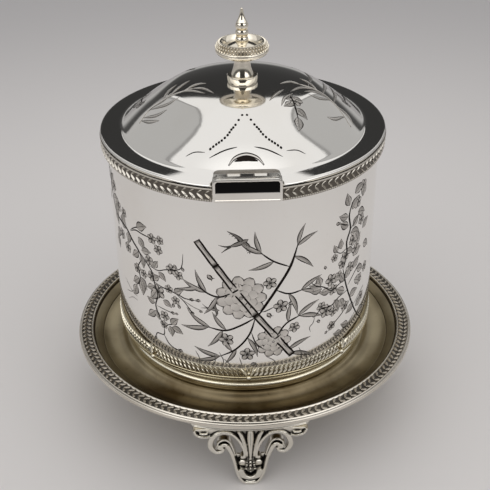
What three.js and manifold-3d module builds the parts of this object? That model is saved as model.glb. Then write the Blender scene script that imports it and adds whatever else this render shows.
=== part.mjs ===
// Biscuit barrel in silver plate: a round drum with a hinged, domed lid and a turned finial,
// standing on a saucer tray with three cast scroll feet.
// Millimetres, +Z up. The origin is on the table, under the middle of the tray.
// The hinge is on the -Y side.

import * as THREE from 'three';
import { mergeVertices } from 'three/addons/utils/BufferGeometryUtils.js';
import Module from 'manifold-3d';

const wasm = await Module();
wasm.setup();

// Fits
const solderGap = 0.05;          // film between two soldered round pieces
const seatGap = 0.3;             // gap of a piece that is cut to lie against a curved one
const runningGap = 0.3;          // gap between the leaves and knuckles of the hinge
const pinGap = 0.05;             // radial play of the hinge pin
const boltGap = 0.2;             // radial play of the bolts in their holes
const lidRest = 0.3;             // gap between the brim of the lid and the collar

// Saucer tray
const trayReach = 25.1;          // rolled edge of the tray, outside the wall of the drum
const traySheet = 1.6;
const footHeight = 45;           // table to the underside of the flat flange
const edgeWidth = 1.9;           // rolled edge, outside the sheet
const flangeWidth = 6.6;
const slopeWidth = 5.1;          // sloping ring between the flange and the well
const foldDrop = 2.7;            // crease inside the sloping ring, below the top of the flange
const wellDrop = 4.6;            // lowest ring of the well, below the top of the flange
const seatMargin = 0.3;          // raised middle of the tray, outside the base of the drum
const seatDrop = 0.3;

// Border soldered on the flange of the tray
const borderRise = 2;
const borderBand = 5;            // width of the leaf band between its two beads
const borderOverhang = 0.2;      // rolled edge stays this far above the underside of the flange
const beadWidth = 1.1;
const beadRise = 0.5;

// Drum
const drumRadius = 70;
const drumSheet = 1.2;
const drumHeight = 108.5;        // length of the straight wall
const baseHeight = 11.7;         // moulded ring under the wall
const baseInset = 4.3;           // foot of the base, inside the wall
const rollWidth = 1.4;           // rolled edge of the base
const rollHeight = 4.4;
const baseLip = 0.5;             // the moulding stands this far proud of the wall
const floorLedge = 0.8;
const floorSheet = 1.2;
const ledgeWidth = 1.9;
const garlandHeight = 6;
const garlandRelief = 0.7;

// Collar round the mouth of the drum
const collarReach = 3.3;         // outside the wall
const collarHeight = 7.2;
const collarLip = 0.8;           // height over the top of the wall
const collarGround = 0.7;        // depth of the leaf band below its two edges
const collarEdge = 1.2;

// Lid
const brimInset = 0.3;           // edge of the lid, inside the edge of the collar
const brimThickness = 1.9;
const lidSheet = 1.2;
const crownRise = 22;            // flat middle, over the brim
const crownSeat = 7.6;
const crownEase = 9.5;           // reach of the curve's handles at the crown
const crestWidth = 26;           // from the edge of the crown to the crest
const crestRise = 19.9;
const crestEase = 7;             // and at the crest, inwards
const crestRoll = 5;             // and outwards
const crestFall = 1.2;
const shoulderRise = 12.2;
const shoulderRun = 4.5;         // steep stretch under the shoulder
const shoulderFall = 3.2;
const coveWidth = 14.5;          // from the shoulder to the corner at the brim
const coveRise = 0.9;
const coveEase = 4.5;
const coveFall = 3;
const filletWidth = 3;
const brimWidth = 8;
const bezelDepth = 7.4;
const bezelSheet = 1.2;
const bezelPlay = 1;

// Hinge
const hingeReach = 1;            // axis of the pin, outside the wall of the drum
const hingeRise = 5.1;           // axis of the pin, over the collar
const knuckleRadius = 2;
const knuckleCount = 5;
const pinRadius = 0.8;
const blockWidth = 31.5;
const blockReach = 6;            // front of the block, before the axis
const blockBack = 4;             // stock behind the axis, cut away against the drum
const blockHeight = 11.4;
const blockCorner = 2.4;
const blockEdge = 1;
const frameWidth = 1.5;          // raised edge round the dished face of the block
const dishDepth = 0.5;
const leafDepth = 7;
const leafThickness = 1.4;
const leafCorner = 3;

// Finial, stacked on the crown of the lid
const ringRadius = 7.75;         // seating ring at the foot
const ringHeight = 3.3;
const trumpetHeight = 9;
const trumpetFoot = 5.6;
const neckRadius = 4.1;
const neckEase = 4;
const saucerRadius = 13.4;
const saucerHeight = 8.4;
const saucerMouth = 10.1;
const saucerDepth = 1.9;
const spireHeight = 17.6;
const spireRadius = 3.3;
const spireFoot = 2.9;
const studRadius = 1.3;
const studSeat = 4;              // length of the stud inside the spire

// Nuts, washers and the bolt that holds the drum on the tray
const nutHeight = 3;
const nutSpan = 3.4;
const washerHeight = 1;
const washerRadius = 5.2;
const boltRadius = 2.4;
const boltHeadRadius = 6;
const boltHeadHeight = 1.8;
const standNutSpan = 5;
const standNutHeight = 3.4;
const standWasherRadius = 8;
const threadEnd = 1.2;           // thread that shows past each nut

// Cast scroll foot
const footPlaces = ['front', 'rear_right', 'rear_left'];
const shelfInset = 0.8;          // shelf, inside the edge of the tray
const shelfWidth = 6.9;
const shelfHeight = 2.9;
const shelfHalfWidth = 30;
const plateInset = 1.7;          // front of the casting, behind the edge of the shelf
const plateLean = 4.8;           // toe, behind the top of the casting
const plateThickness = 3;
const rimRelief = 1.5;           // the scroll rims and leaves stand this far proud
const toeRadius = 4.2;
const toeThickness = 2.4;
const shelfOverlap = 0.1;
const shelfMargin = 0.8;         // ends of the shelf, outside the casting
const drawnDrop = 42.2;          // height and half width that the lines of the foot are drawn on
const drawnSpread = 29.2;
const toeHalf = 2.9;
const eyeRadius = 1.2;

// Facets
const roundSides = 44;
const finialSides = 20;
const smallSides = 16;

// Sizes that follow from those above
const baseRadius = drumRadius - baseInset;
const rollRadius = baseRadius + rollWidth;
const seatRadius = rollRadius + seatMargin;
const trayRadius = drumRadius + trayReach;
const flangeOuter = trayRadius - edgeWidth;
const flangeInner = flangeOuter - flangeWidth;
const foldRadius = flangeInner - slopeWidth;
const wellSpan = foldRadius - seatRadius;
const wellRadius = seatRadius + wellSpan / 2;
const collarRadius = drumRadius + collarReach;
const brimRadius = collarRadius - brimInset;
const filletRadius = brimRadius - brimWidth;
const coveRadius = filletRadius - filletWidth;
const shoulderRadius = coveRadius - coveWidth;
const crestRadius = crownSeat + crestWidth;
const hingeRadius = drumRadius + hingeReach;
const blockFront = hingeRadius + blockReach;
const shelfOuter = trayRadius - shelfInset;
const shelfInner = shelfOuter - shelfWidth;
const plateTop = shelfOuter - plateInset;
const plateToe = plateTop - plateLean;

// Heights that follow from the sizes above
const flangeTop = footHeight + traySheet;
const seatTop = flangeTop - seatDrop;
const wallBottom = seatTop + baseHeight;
const wallTop = wallBottom + drumHeight;
const collarTop = wallTop + collarLip;
const brimBottom = collarTop + lidRest;
const brimTop = brimBottom + brimThickness;
const crownTop = brimTop + crownRise;
const hingeHeight = collarTop + hingeRise;
const wallInner = drumRadius - drumSheet;
const shelfBottom = footHeight - shelfHeight;
const footDrop = shelfBottom + shelfOverlap;
const footSpread = shelfHalfWidth - shelfMargin;
const floorBottom = seatTop + floorLedge;
const floorTop = floorBottom + floorSheet;
const boltHole = boltRadius + boltGap;
const studHole = studRadius + boltGap;

// Finishes
const finish = (color, roughness, metalness = 1) =>
  new THREE.MeshStandardMaterial({ color, roughness, metalness });
const polished = () => finish(0xdfdcd6, 0.12);
const oxidised = () => finish(0xa39c90, 0.34);
const castSilver = () => finish(0xc9c4ba, 0.26);
const turnedSilver = () => finish(0xdcd2bf, 0.16);
const tarnished = () => finish(0x8f7c52, 0.3);
const plainMetal = () => finish(0x9a948a, 0.45);

// Solids

// Merges the seam, drops flat triangles at the axis and turns the faces outwards.
function closedBody(geometry) {
  geometry.deleteAttribute('normal');
  geometry.deleteAttribute('uv');
  const merged = mergeVertices(geometry);
  const place = merged.getAttribute('position');
  const corners = merged.getIndex().array;
  const kept = [];
  let volume = 0;
  const [a, b, c] = [new THREE.Vector3(), new THREE.Vector3(), new THREE.Vector3()];
  for (let i = 0; i < corners.length; i += 3) {
    const [p, q, r] = corners.slice(i, i + 3);
    if (p === q || q === r || r === p) continue;
    kept.push([p, q, r]);
    a.fromBufferAttribute(place, p);
    b.fromBufferAttribute(place, q);
    c.fromBufferAttribute(place, r);
    volume += a.dot(b.cross(c));
  }
  merged.setIndex(kept.flatMap(([p, q, r]) => (volume > 0 ? [p, q, r] : [p, r, q])));
  merged.computeVertexNormals();
  return merged;
}

// A profile of radius and height, turned round the Z axis.
function turned(path, steps, sides = roundSides) {
  const geometry = new THREE.LatheGeometry(path.getPoints(steps), sides);
  return closedBody(geometry.rotateX(Math.PI / 2));
}

const disc = (radius, bottom, top, sides = smallSides) =>
  closedBody(new THREE.CylinderGeometry(radius, radius, top - bottom, sides)
    .rotateX(Math.PI / 2).translate(0, 0, (bottom + top) / 2));

const rod = (radius, from, to, y, z, sides = smallSides) =>
  closedBody(new THREE.CylinderGeometry(radius, radius, to - from, sides)
    .rotateZ(Math.PI / 2).translate((from + to) / 2, y, z));

const box = (x0, x1, y0, y1, z0, z1) =>
  closedBody(new THREE.BoxGeometry(x1 - x0, y1 - y0, z1 - z0)
    .translate((x0 + x1) / 2, (y0 + y1) / 2, (z0 + z1) / 2));

// A shape drawn in X and Z, front at y = 0, with its depth towards +Y.
const upright = (shape, depth, steps = 3) =>
  closedBody(new THREE.ExtrudeGeometry(shape, { depth, bevelEnabled: false, curveSegments: steps })
    .rotateX(Math.PI / 2).translate(0, depth, 0));

function solidOf(geometry) {
  return new wasm.Manifold(new wasm.Mesh({
    numProp: 3,
    vertProperties: geometry.getAttribute('position').array,
    triVerts: new Uint32Array(geometry.getIndex().array),
  }));
}

function geometryOf(solid) {
  const mesh = solid.getMesh();
  const geometry = new THREE.BufferGeometry();
  geometry.setAttribute('position', new THREE.BufferAttribute(mesh.vertProperties, 3));
  geometry.setIndex(new THREE.BufferAttribute(mesh.triVerts, 1));
  geometry.computeVertexNormals();
  return geometry;
}

const join = (...pieces) => geometryOf(pieces.map(solidOf).reduce((a, b) => a.add(b)));
const cut = (piece, ...tools) =>
  geometryOf(tools.map(solidOf).reduce((a, b) => a.subtract(b), solidOf(piece)));

function piece(name, geometry, material) {
  const mesh = new THREE.Mesh(geometry, material);
  mesh.name = name;
  return mesh;
}

// A washer or any plain ring of square section.
function plainRing(inner, outer, bottom, top, sides = roundSides) {
  const path = new THREE.Path();
  path.moveTo(inner, bottom).lineTo(outer, bottom).lineTo(outer, top).lineTo(inner, top).closePath();
  return turned(path, 1, sides);
}

// Six flats round a bore.
const hexNut = (span, bore, bottom, top) =>
  cut(disc(span, bottom, top, 6), disc(bore, bottom - 1, top + 1));

// Saucer tray

function trayDish() {
  const path = new THREE.Path();
  const well = flangeTop - wellDrop;
  const fold = flangeTop - foldDrop;
  path.moveTo(boltHole, seatTop);
  path.lineTo(seatRadius, seatTop);
  path.bezierCurveTo(seatRadius + wellSpan * 0.14, seatTop - 0.2, seatRadius + wellSpan * 0.1, well,
    wellRadius, well);
  path.bezierCurveTo(wellRadius + wellSpan * 0.21, well, foldRadius - wellSpan * 0.18, well + 0.4,
    foldRadius, fold);
  path.lineTo(flangeInner, flangeTop);
  path.lineTo(flangeOuter, flangeTop);
  path.lineTo(flangeOuter, footHeight);
  path.lineTo(flangeInner + 0.4, footHeight);
  path.lineTo(foldRadius + 0.4, fold - traySheet);
  path.bezierCurveTo(foldRadius - wellSpan * 0.14, well + 0.2 - traySheet,
    wellRadius + wellSpan * 0.21, well - traySheet, wellRadius, well - traySheet);
  path.bezierCurveTo(seatRadius + wellSpan * 0.04, well - traySheet,
    seatRadius + wellSpan * 0.07, seatTop - traySheet, seatRadius - wellSpan * 0.08, seatTop - traySheet);
  path.lineTo(boltHole, seatTop - traySheet);
  path.closePath();
  return turned(path, 2);
}

// The leaf band lies between two beads, and a rolled edge closes over the sheet of the tray.
function trayBorder() {
  const top = flangeTop + borderRise;
  const inner = flangeInner + 0.3;
  const bandInner = inner + beadWidth;
  const bandOuter = bandInner + borderBand;
  const groove = top - beadRise;
  const bottom = footHeight + borderOverhang;
  const path = new THREE.Path();
  path.moveTo(inner, flangeTop);
  path.lineTo(inner, groove);
  path.quadraticCurveTo(inner + beadWidth / 2, top + beadRise / 2, bandInner, groove);
  path.quadraticCurveTo((bandInner + bandOuter) / 2, top + beadRise, bandOuter, groove);
  path.quadraticCurveTo(bandOuter + beadWidth / 2, top + beadRise / 2, bandOuter + beadWidth, groove);
  path.quadraticCurveTo(trayRadius, groove, trayRadius, (groove + bottom) / 2);
  path.quadraticCurveTo(trayRadius, bottom, trayRadius - 1, bottom);
  path.lineTo(flangeOuter + solderGap, bottom);
  path.lineTo(flangeOuter + solderGap, flangeTop);
  path.closePath();
  return turned(path, 2);
}

// Scroll foot, drawn on the front of the object and turned to its place

const mirrored = (points) => points.map(([u, w]) => [-u, w]).reverse();
const vectors = (points) => points.map(([u, w]) =>
  new THREE.Vector2(u * footSpread / drawnSpread, w * footDrop / drawnDrop));

// Half of the outline, from the toe up: across from the middle, and height.
const shin = [[4.7, 2.1], [6.9, 6.3], [8.3, 12.7], [9.5, 19], [10.8, 25.3]];
const volute = [[11.8, 26.6], [13.4, 24.7], [16.5, 23.8], [19.9, 25.5], [21.6, 30], [20.9, 34.6]];
const leaf = [[21, 35.9], [23.7, 35.7], [26.9, 36.7], [28.8, 39.2], [29.2, 42.2]];

// Middle lines of the pierced channel, of the raised rims of one scroll, and of a side leaf.
const channelLine = [[16.4, 32.1], [14.9, 35.7], [11.4, 36.7], [8.3, 33.8], [6.3, 28.7], [5.1, 23.8]];
const archRim = [[2.9, 21.1], [3.5, 27], [5.8, 33.8], [9.6, 39.2], [14, 40.3], [18.4, 38],
  [20.6, 33.3], [20.4, 28.7], [17.5, 25.3], [14, 26], [13.3, 29.1], [15.5, 30]];
const shinRim = [[13.4, 31.4], [11.1, 29.1], [9.2, 23.6], [7.7, 16.9], [6.7, 9.3], [4.9, 4],
  [2.6, 1.3], [-0.3, 0.9]];
const leafLine = [[0, 21.1], [1, 31.7], [3.5, 40.9]];
const eyePlace = [3.9, 17.5];
const channelHalf = [0.7, 1.7];  // half width at the ends and in the middle
const leafHalf = [0.5, 1.9];
const archHalf = [0.9, 0.7];     // half width at the start and at the end
const shinHalf = [0.6, 0.9];

// A band that follows a line, as wide as halfWidth says from 0 to 1 along it.
function bandShape(line, halfWidth, steps) {
  const curve = new THREE.SplineCurve(vectors(line));
  const sides = [[], []];
  for (let i = 0; i <= steps; i += 1) {
    const t = i / steps;
    const along = curve.getTangent(t);
    const middle = curve.getPoint(t);
    const across = new THREE.Vector2(-along.y, along.x).multiplyScalar(halfWidth(t));
    sides[0].push(middle.clone().add(across));
    sides[1].push(middle.clone().sub(across));
  }
  return new THREE.Shape([...sides[0], ...sides[1].reverse()]);
}

const swelling = ([narrow, wide]) => (t) => narrow + (wide - narrow) * Math.sin(Math.PI * t);
const tapering = ([start, end]) => (t) => start + (end - start) * t;

function footOutline() {
  const shape = new THREE.Shape();
  shape.moveTo(toeHalf, 0);
  for (const stretch of [shin, volute, leaf]) shape.splineThru(vectors(stretch));
  shape.lineTo(-footSpread, footDrop);
  const back = [leaf, volute, shin].map(mirrored);
  for (const stretch of back) shape.splineThru(vectors(stretch));
  shape.lineTo(-toeHalf, 0);
  shape.closePath();
  return shape;
}

// Three leaves of the palmette between the scrolls.
function palmette() {
  const leaves = [-1, 0, 1].map((side) => {
    const line = leafLine.map(([u, w]) => [side * u, w]);
    return upright(bandShape(line, swelling(leafHalf), 4), plateThickness + rimRelief);
  });
  return join(...leaves);
}

// Leans the casting outwards, from the toe to the shelf.
function leaned(geometry) {
  const place = geometry.getAttribute('position');
  for (let i = 0; i < place.count; i += 1) {
    const rise = Math.min(place.getZ(i) / footDrop, 1);
    const front = plateToe + (plateTop - plateToe) * rise;
    place.setY(i, place.getY(i) - front);
  }
  return geometry;
}

function shelf() {
  const spread = Math.asin(shelfHalfWidth / shelfOuter);
  const shape = new THREE.Shape();
  shape.absarc(0, 0, shelfOuter, -Math.PI / 2 - spread, -Math.PI / 2 + spread, false);
  shape.absarc(0, 0, shelfInner, -Math.PI / 2 + spread, -Math.PI / 2 - spread, true);
  const depth = { depth: shelfHeight, bevelEnabled: false, curveSegments: 8 };
  return closedBody(new THREE.ExtrudeGeometry(shape, depth).translate(0, 0, shelfBottom));
}

function scrollFoot() {
  const relief = (shape) => upright(shape, plateThickness + rimRelief);
  const through = plateThickness + 2 * rimRelief;
  const tools = [];
  const raised = [palmette()];
  for (const side of [-1, 1]) {
    const turn = (line) => line.map(([u, w]) => [side * u, w]);
    tools.push(upright(bandShape(turn(channelLine), swelling(channelHalf), 6), through));
    raised.push(relief(bandShape(turn(archRim), tapering(archHalf), 13)));
    raised.push(relief(bandShape(turn(shinRim), tapering(shinHalf), 9)));
    const [eye] = vectors(turn([eyePlace]));
    tools.push(rod(eyeRadius, 0, through, 0, 0, 8).rotateZ(Math.PI / 2).translate(eye.x, 0, eye.y));
  }
  const plate = cut(upright(footOutline(), plateThickness, 2).translate(0, rimRelief, 0), ...tools);
  const casting = leaned(join(plate, ...raised));
  const sole = disc(toeRadius, 0, toeThickness).translate(0, toeRadius - plateToe + 0.4, 0);
  const whole = join(casting, shelf(), sole);
  return cut(whole, box(-shelfHalfWidth, shelfHalfWidth, -shelfOuter, 0, -footDrop, 0));
}

// Drum

const drumWall = () => plainRing(wallInner, drumRadius, wallBottom, wallTop);

// Moulded ring: a rolled edge, then a cove that runs out under the wall.
function baseRing() {
  const roll = seatTop + rollHeight;
  const lip = drumRadius + baseLip;
  const ledgeOuter = baseRadius - drumSheet + 0.5;
  const path = new THREE.Path();
  path.moveTo(ledgeOuter - ledgeWidth, seatTop);
  path.lineTo(baseRadius, seatTop);
  path.bezierCurveTo(rollRadius + 0.4, seatTop + 0.3, rollRadius + 0.4, roll - 0.4, rollRadius - 0.7, roll);
  path.bezierCurveTo(rollRadius - 0.5, roll + 3, lip - 2.4, wallBottom - 2.4, lip, wallBottom - 1);
  path.lineTo(lip, wallBottom);
  path.lineTo(wallInner, wallBottom);
  path.bezierCurveTo(wallInner - 0.6, wallBottom - 2, ledgeOuter + 0.2, roll + 2, ledgeOuter, roll);
  path.lineTo(ledgeOuter, floorBottom);
  path.lineTo(ledgeOuter - ledgeWidth, floorBottom);
  path.closePath();
  return turned(path, 2);
}

const drumFloor = () =>
  plainRing(boltHole, baseRadius - drumSheet + 0.5 - solderGap, floorBottom, floorTop);

// Low band of leaves at the foot of the wall.
function garlandBand() {
  const inner = drumRadius + solderGap;
  const path = new THREE.Path();
  path.moveTo(inner, wallBottom);
  path.lineTo(inner + garlandRelief * 0.6, wallBottom);
  path.quadraticCurveTo(inner + garlandRelief * 1.4, wallBottom + garlandHeight / 2,
    inner + garlandRelief * 0.3, wallBottom + garlandHeight);
  path.lineTo(inner, wallBottom + garlandHeight);
  path.closePath();
  return turned(path, 2);
}

// Opening that the hinge block takes out of the collar and the lid.
const hingeNotch = (bottom, top, back) =>
  box(-blockWidth / 2 - runningGap, blockWidth / 2 + runningGap, -blockFront, -back, bottom, top);

function collar() {
  const bottom = collarTop - collarHeight;
  const ground = collarRadius - collarGround;
  const inner = drumRadius + solderGap;
  const path = new THREE.Path();
  path.moveTo(inner, bottom);
  path.lineTo(ground, bottom);
  path.quadraticCurveTo(collarRadius + 0.4, bottom + collarEdge / 2, ground, bottom + collarEdge);
  path.lineTo(ground, collarTop - collarEdge);
  path.lineTo(collarRadius, collarTop - collarEdge * 0.7);
  path.lineTo(collarRadius, collarTop);
  path.lineTo(wallInner, collarTop);
  path.lineTo(wallInner, wallTop);
  path.lineTo(inner, wallTop);
  path.closePath();
  return cut(turned(path, 2), hingeNotch(bottom - 1, collarTop + 1, 0));
}

// Lid

// Outer face of the lid from the axis to the brim, lifted by a given amount.
function lidFace(path, lift = 0) {
  const up = (rise) => brimTop + rise + lift;
  path.lineTo(crownSeat, up(crownRise));
  path.bezierCurveTo(crownSeat + crownEase, up(crownRise), crestRadius - crestEase, up(crestRise + 1.7),
    crestRadius, up(crestRise));
  path.bezierCurveTo(crestRadius + crestRoll, up(crestRise - crestFall),
    shoulderRadius - shoulderRun, up(shoulderRise + shoulderFall), shoulderRadius, up(shoulderRise));
  path.bezierCurveTo(shoulderRadius + shoulderRun, up(shoulderRise - shoulderFall),
    coveRadius - coveEase, up(coveRise + coveFall), coveRadius, up(coveRise));
  path.quadraticCurveTo(coveRadius + 1.2, up(0.1), filletRadius, up(0));
  path.lineTo(brimRadius - 1.4, up(0));
  path.quadraticCurveTo(brimRadius, up(0), brimRadius, up(-0.9));
  return path;
}

function lidDome() {
  const path = new THREE.Path();
  const under = (rise) => brimTop + rise - lidSheet;
  const shoulder = shoulderRadius - lidSheet * 0.65;
  path.moveTo(studHole, brimTop + crownRise);
  lidFace(path);
  path.lineTo(brimRadius - 0.5, brimBottom);
  path.lineTo(coveRadius + 1, brimBottom);
  path.bezierCurveTo(coveRadius - coveEase, under(coveRise + coveFall),
    shoulder + shoulderRun, under(shoulderRise - shoulderFall), shoulder, under(shoulderRise));
  path.bezierCurveTo(shoulder - shoulderRun, under(shoulderRise + shoulderFall),
    crestRadius + crestRoll, under(crestRise - crestFall), crestRadius, under(crestRise));
  path.bezierCurveTo(crestRadius - crestEase, under(crestRise + 1.7), crownSeat + crownEase, under(crownRise),
    crownSeat, under(crownRise));
  path.lineTo(studHole, under(crownRise));
  path.closePath();
  const back = hingeRadius - knuckleRadius - runningGap;
  return cut(turned(path, 3), hingeNotch(brimBottom - 1, brimTop + 2, back));
}

const bezelOuter = wallInner - bezelPlay;
const lidBezel = () => plainRing(bezelOuter - bezelSheet, bezelOuter, brimBottom - bezelDepth, brimBottom);

// Hinge

const knuckleRun = blockWidth - 1;
const knucklePitch = knuckleRun / knuckleCount;

// Start and end of each knuckle along the pin.
const knuckle = (index) => {
  const start = -knuckleRun / 2 + index * knucklePitch;
  return [start + runningGap / 2, start + knucklePitch - runningGap / 2];
};
const drumKnuckles = [0, 2, 4];
const lidKnuckles = [1, 3];
const pinBore = () =>
  rod(pinRadius + pinGap, -blockWidth, blockWidth, -hingeRadius, hingeHeight);

function blockFace() {
  const half = blockWidth / 2;
  const top = hingeHeight + knuckleRadius;
  const bottom = top - blockHeight;
  const shape = new THREE.Shape();
  shape.moveTo(-half + blockEdge, bottom);
  shape.lineTo(half - blockEdge, bottom);
  shape.quadraticCurveTo(half, bottom, half, bottom + blockEdge);
  shape.lineTo(half, top - blockCorner);
  shape.quadraticCurveTo(half, top, half - blockCorner, top);
  shape.lineTo(-half + blockCorner, top);
  shape.quadraticCurveTo(-half, top, -half, top - blockCorner);
  shape.lineTo(-half, bottom + blockEdge);
  shape.quadraticCurveTo(-half, bottom, -half + blockEdge, bottom);
  return upright(shape, blockReach + blockBack, 3).translate(0, -blockFront, 0);
}

function hingeBlock() {
  const top = hingeHeight + knuckleRadius;
  const bottom = top - blockHeight;
  const half = blockWidth / 2;
  const dish = box(-half + frameWidth, half - frameWidth, -blockFront - 1, -blockFront + dishDepth,
    bottom + frameWidth, top - frameWidth);
  const drum = disc(drumRadius + seatGap, bottom - 1, wallTop + seatGap, roundSides);
  const behindPin = box(-half - 1, half + 1, -hingeRadius, 0, wallTop + seatGap, top + 1);
  const slots = lidKnuckles.map((index) => {
    const [from, to] = knuckle(index);
    const reach = knuckleRadius + runningGap;
    const slot = rod(reach, from - runningGap, to + runningGap, -hingeRadius, hingeHeight);
    const way = box(from - runningGap, to + runningGap, -hingeRadius - reach, 0,
      hingeHeight, top + 1);
    return join(slot, way);
  });
  const knuckles = drumKnuckles.map((index) =>
    rod(knuckleRadius, ...knuckle(index), -hingeRadius, hingeHeight));
  const body = cut(blockFace(), dish, drum, behindPin, ...slots);
  return cut(join(body, ...knuckles), pinBore());
}

const hingePin = () => {
  const [start] = knuckle(0);
  const [, end] = knuckle(knuckleCount - 1);
  return rod(pinRadius, start, end, -hingeRadius, hingeHeight);
};

// Plate on the lid with the two knuckles that run between those of the block.
function hingeLeaf() {
  const half = knuckleRun / 2;
  const front = -hingeRadius + knuckleRadius + runningGap;
  const back = front + leafDepth;
  const top = hingeHeight - 0.3;
  const shape = new THREE.Shape();
  shape.moveTo(-half, front);
  shape.lineTo(half, front);
  shape.lineTo(half, back - leafCorner);
  shape.quadraticCurveTo(half, back, half - leafCorner, back);
  shape.lineTo(-half + leafCorner, back);
  shape.quadraticCurveTo(-half, back, -half, back - leafCorner);
  shape.closePath();
  const height = top - brimTop;
  const plate = closedBody(new THREE.ExtrudeGeometry(shape,
    { depth: height, bevelEnabled: false, curveSegments: 5 }).translate(0, 0, brimTop));
  const face = new THREE.Path();
  face.moveTo(0, brimBottom);
  face.lineTo(0, crownTop + seatGap);
  lidFace(face, seatGap);
  face.lineTo(brimRadius, brimBottom);
  face.closePath();
  const arms = lidKnuckles.flatMap((index) => {
    const [from, to] = knuckle(index);
    return [
      rod(knuckleRadius, from, to, -hingeRadius, hingeHeight),
      box(from, to, -hingeRadius, front + 0.5, top - leafThickness, top),
    ];
  });
  return cut(join(cut(plate, turned(face, 3)), ...arms), pinBore());
}

// Finial

const trumpetBottom = crownTop + ringHeight;
const saucerBottom = trumpetBottom + trumpetHeight;
const spireBottom = saucerBottom + saucerHeight - saucerDepth + 0.6;

function finialStem() {
  const path = new THREE.Path();
  path.moveTo(studHole, crownTop);
  path.lineTo(ringRadius - 0.4, crownTop);
  path.quadraticCurveTo(ringRadius + 0.2, crownTop + ringHeight / 2, ringRadius, trumpetBottom - 0.5);
  path.lineTo(ringRadius - 0.4, trumpetBottom);
  path.lineTo(trumpetFoot, trumpetBottom);
  path.bezierCurveTo(trumpetFoot - 0.9, trumpetBottom + 2.5, neckRadius - 0.3, saucerBottom - neckEase,
    neckRadius, saucerBottom - 0.8);
  path.lineTo(neckRadius + 0.4, saucerBottom);
  path.lineTo(studHole, saucerBottom);
  path.closePath();
  return turned(path, 3, finialSides);
}

// Small saucer with a convex floor inside its raised edge.
function finialSaucer() {
  const rim = saucerBottom + saucerHeight;
  const waist = saucerBottom + saucerHeight * 0.42;
  const path = new THREE.Path();
  path.moveTo(studHole, saucerBottom);
  path.lineTo(neckRadius + 1.4, saucerBottom);
  path.quadraticCurveTo(saucerRadius - 2, saucerBottom + 0.8, saucerRadius, waist);
  path.lineTo(saucerRadius, waist + 1.2);
  path.quadraticCurveTo(saucerRadius - 0.4, rim - 1.4, saucerMouth + 0.4, rim);
  path.lineTo(saucerMouth - 0.3, rim - 0.2);
  path.lineTo(saucerMouth - 1.5, rim - saucerDepth);
  path.lineTo(spireFoot, spireBottom);
  path.lineTo(studHole, spireBottom);
  path.closePath();
  return turned(path, 3, finialSides + 4);
}

// Three balls under a tapering tip.
function finialSpire() {
  const ball = spireHeight * 0.2;
  const path = new THREE.Path();
  const top = spireBottom + studSeat;
  path.moveTo(studHole, spireBottom);
  path.lineTo(spireFoot, spireBottom);
  for (const index of [1, 2, 3]) {
    const seam = spireBottom + index * ball;
    path.quadraticCurveTo(spireRadius * 1.12, seam - ball * 0.3, spireFoot - 0.1, seam);
  }
  path.quadraticCurveTo(spireRadius * 0.42, spireBottom + ball * 3.5, 0.7, spireBottom + spireHeight - 0.6);
  path.lineTo(0, spireBottom + spireHeight);
  path.lineTo(0, top + boltGap);
  path.lineTo(studHole, top + boltGap);
  path.closePath();
  return turned(path, 3, finialSides);
}

const crownUnder = crownTop - lidSheet;
const finialNutBottom = crownUnder - washerHeight - nutHeight;

// Bolt through the floor of the drum and the tray
const trayUnder = seatTop - traySheet;
const standNutBottom = trayUnder - washerHeight - standNutHeight;

function standBolt() {
  const end = standNutBottom - threadEnd;
  const path = new THREE.Path();
  path.moveTo(0, end);
  path.lineTo(boltRadius, end);
  path.lineTo(boltRadius, floorTop);
  path.lineTo(boltHeadRadius, floorTop);
  path.quadraticCurveTo(boltHeadRadius - 1, floorTop + boltHeadHeight, 0, floorTop + boltHeadHeight);
  return turned(path, 2, smallSides);
}

// Assembly: the tray and drum stay still, and the lid swings on the hinge pin

const barrel = new THREE.Group();
barrel.add(
  piece('tray_dish', trayDish(), tarnished()),
  piece('tray_border', trayBorder(), oxidised()),
  piece('drum_wall', drumWall(), polished()),
  piece('drum_base_ring', baseRing(), polished()),
  piece('drum_floor', drumFloor(), plainMetal()),
  piece('garland_band', garlandBand(), oxidised()),
  piece('collar_band', collar(), oxidised()),
  piece('hinge_block', hingeBlock(), polished()),
  piece('hinge_pin', hingePin(), plainMetal()),
  piece('stand_bolt', standBolt(), plainMetal()),
  piece('stand_washer', plainRing(boltHole, standWasherRadius, trayUnder - washerHeight, trayUnder,
    smallSides), plainMetal()),
  piece('stand_nut', hexNut(standNutSpan, boltHole, standNutBottom, trayUnder - washerHeight),
    plainMetal()),
);

const footGeometry = scrollFoot();
footPlaces.forEach((place, index) => {
  const foot = piece(`foot_${place}`, footGeometry, castSilver());
  foot.rotation.z = index * 2 * Math.PI / footPlaces.length;
  barrel.add(foot);
});

const lid = new THREE.Group();
lid.position.set(0, -hingeRadius, hingeHeight);
const lidPieces = [
  piece('lid_dome', lidDome(), polished()),
  piece('lid_bezel', lidBezel(), polished()),
  piece('lid_hinge_leaf', hingeLeaf(), polished()),
  piece('finial_stem', finialStem(), turnedSilver()),
  piece('finial_saucer', finialSaucer(), turnedSilver()),
  piece('finial_spire', finialSpire(), turnedSilver()),
  piece('finial_stud', disc(studRadius, finialNutBottom - threadEnd, spireBottom + studSeat), plainMetal()),
  piece('finial_washer', plainRing(studHole, washerRadius, crownUnder - washerHeight, crownUnder,
    smallSides), plainMetal()),
  piece('finial_nut', hexNut(nutSpan, studHole, finialNutBottom, crownUnder - washerHeight), plainMetal()),
];
for (const part of lidPieces) {
  part.position.set(0, hingeRadius, -hingeHeight);
  lid.add(part);
}
barrel.add(lid);

export default barrel;
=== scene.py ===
"""Looks of the biscuit barrel: silver plate, die-rolled bands, engraving, cast feet.

Lengths are written in millimetres and become metres when a mesh is made. The frame is the CAD's:
+Z up, hinge on the -Y side, origin on the table under the middle of the tray.
"""
import math

import bpy
import numpy as np
from mathutils import Matrix


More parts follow.
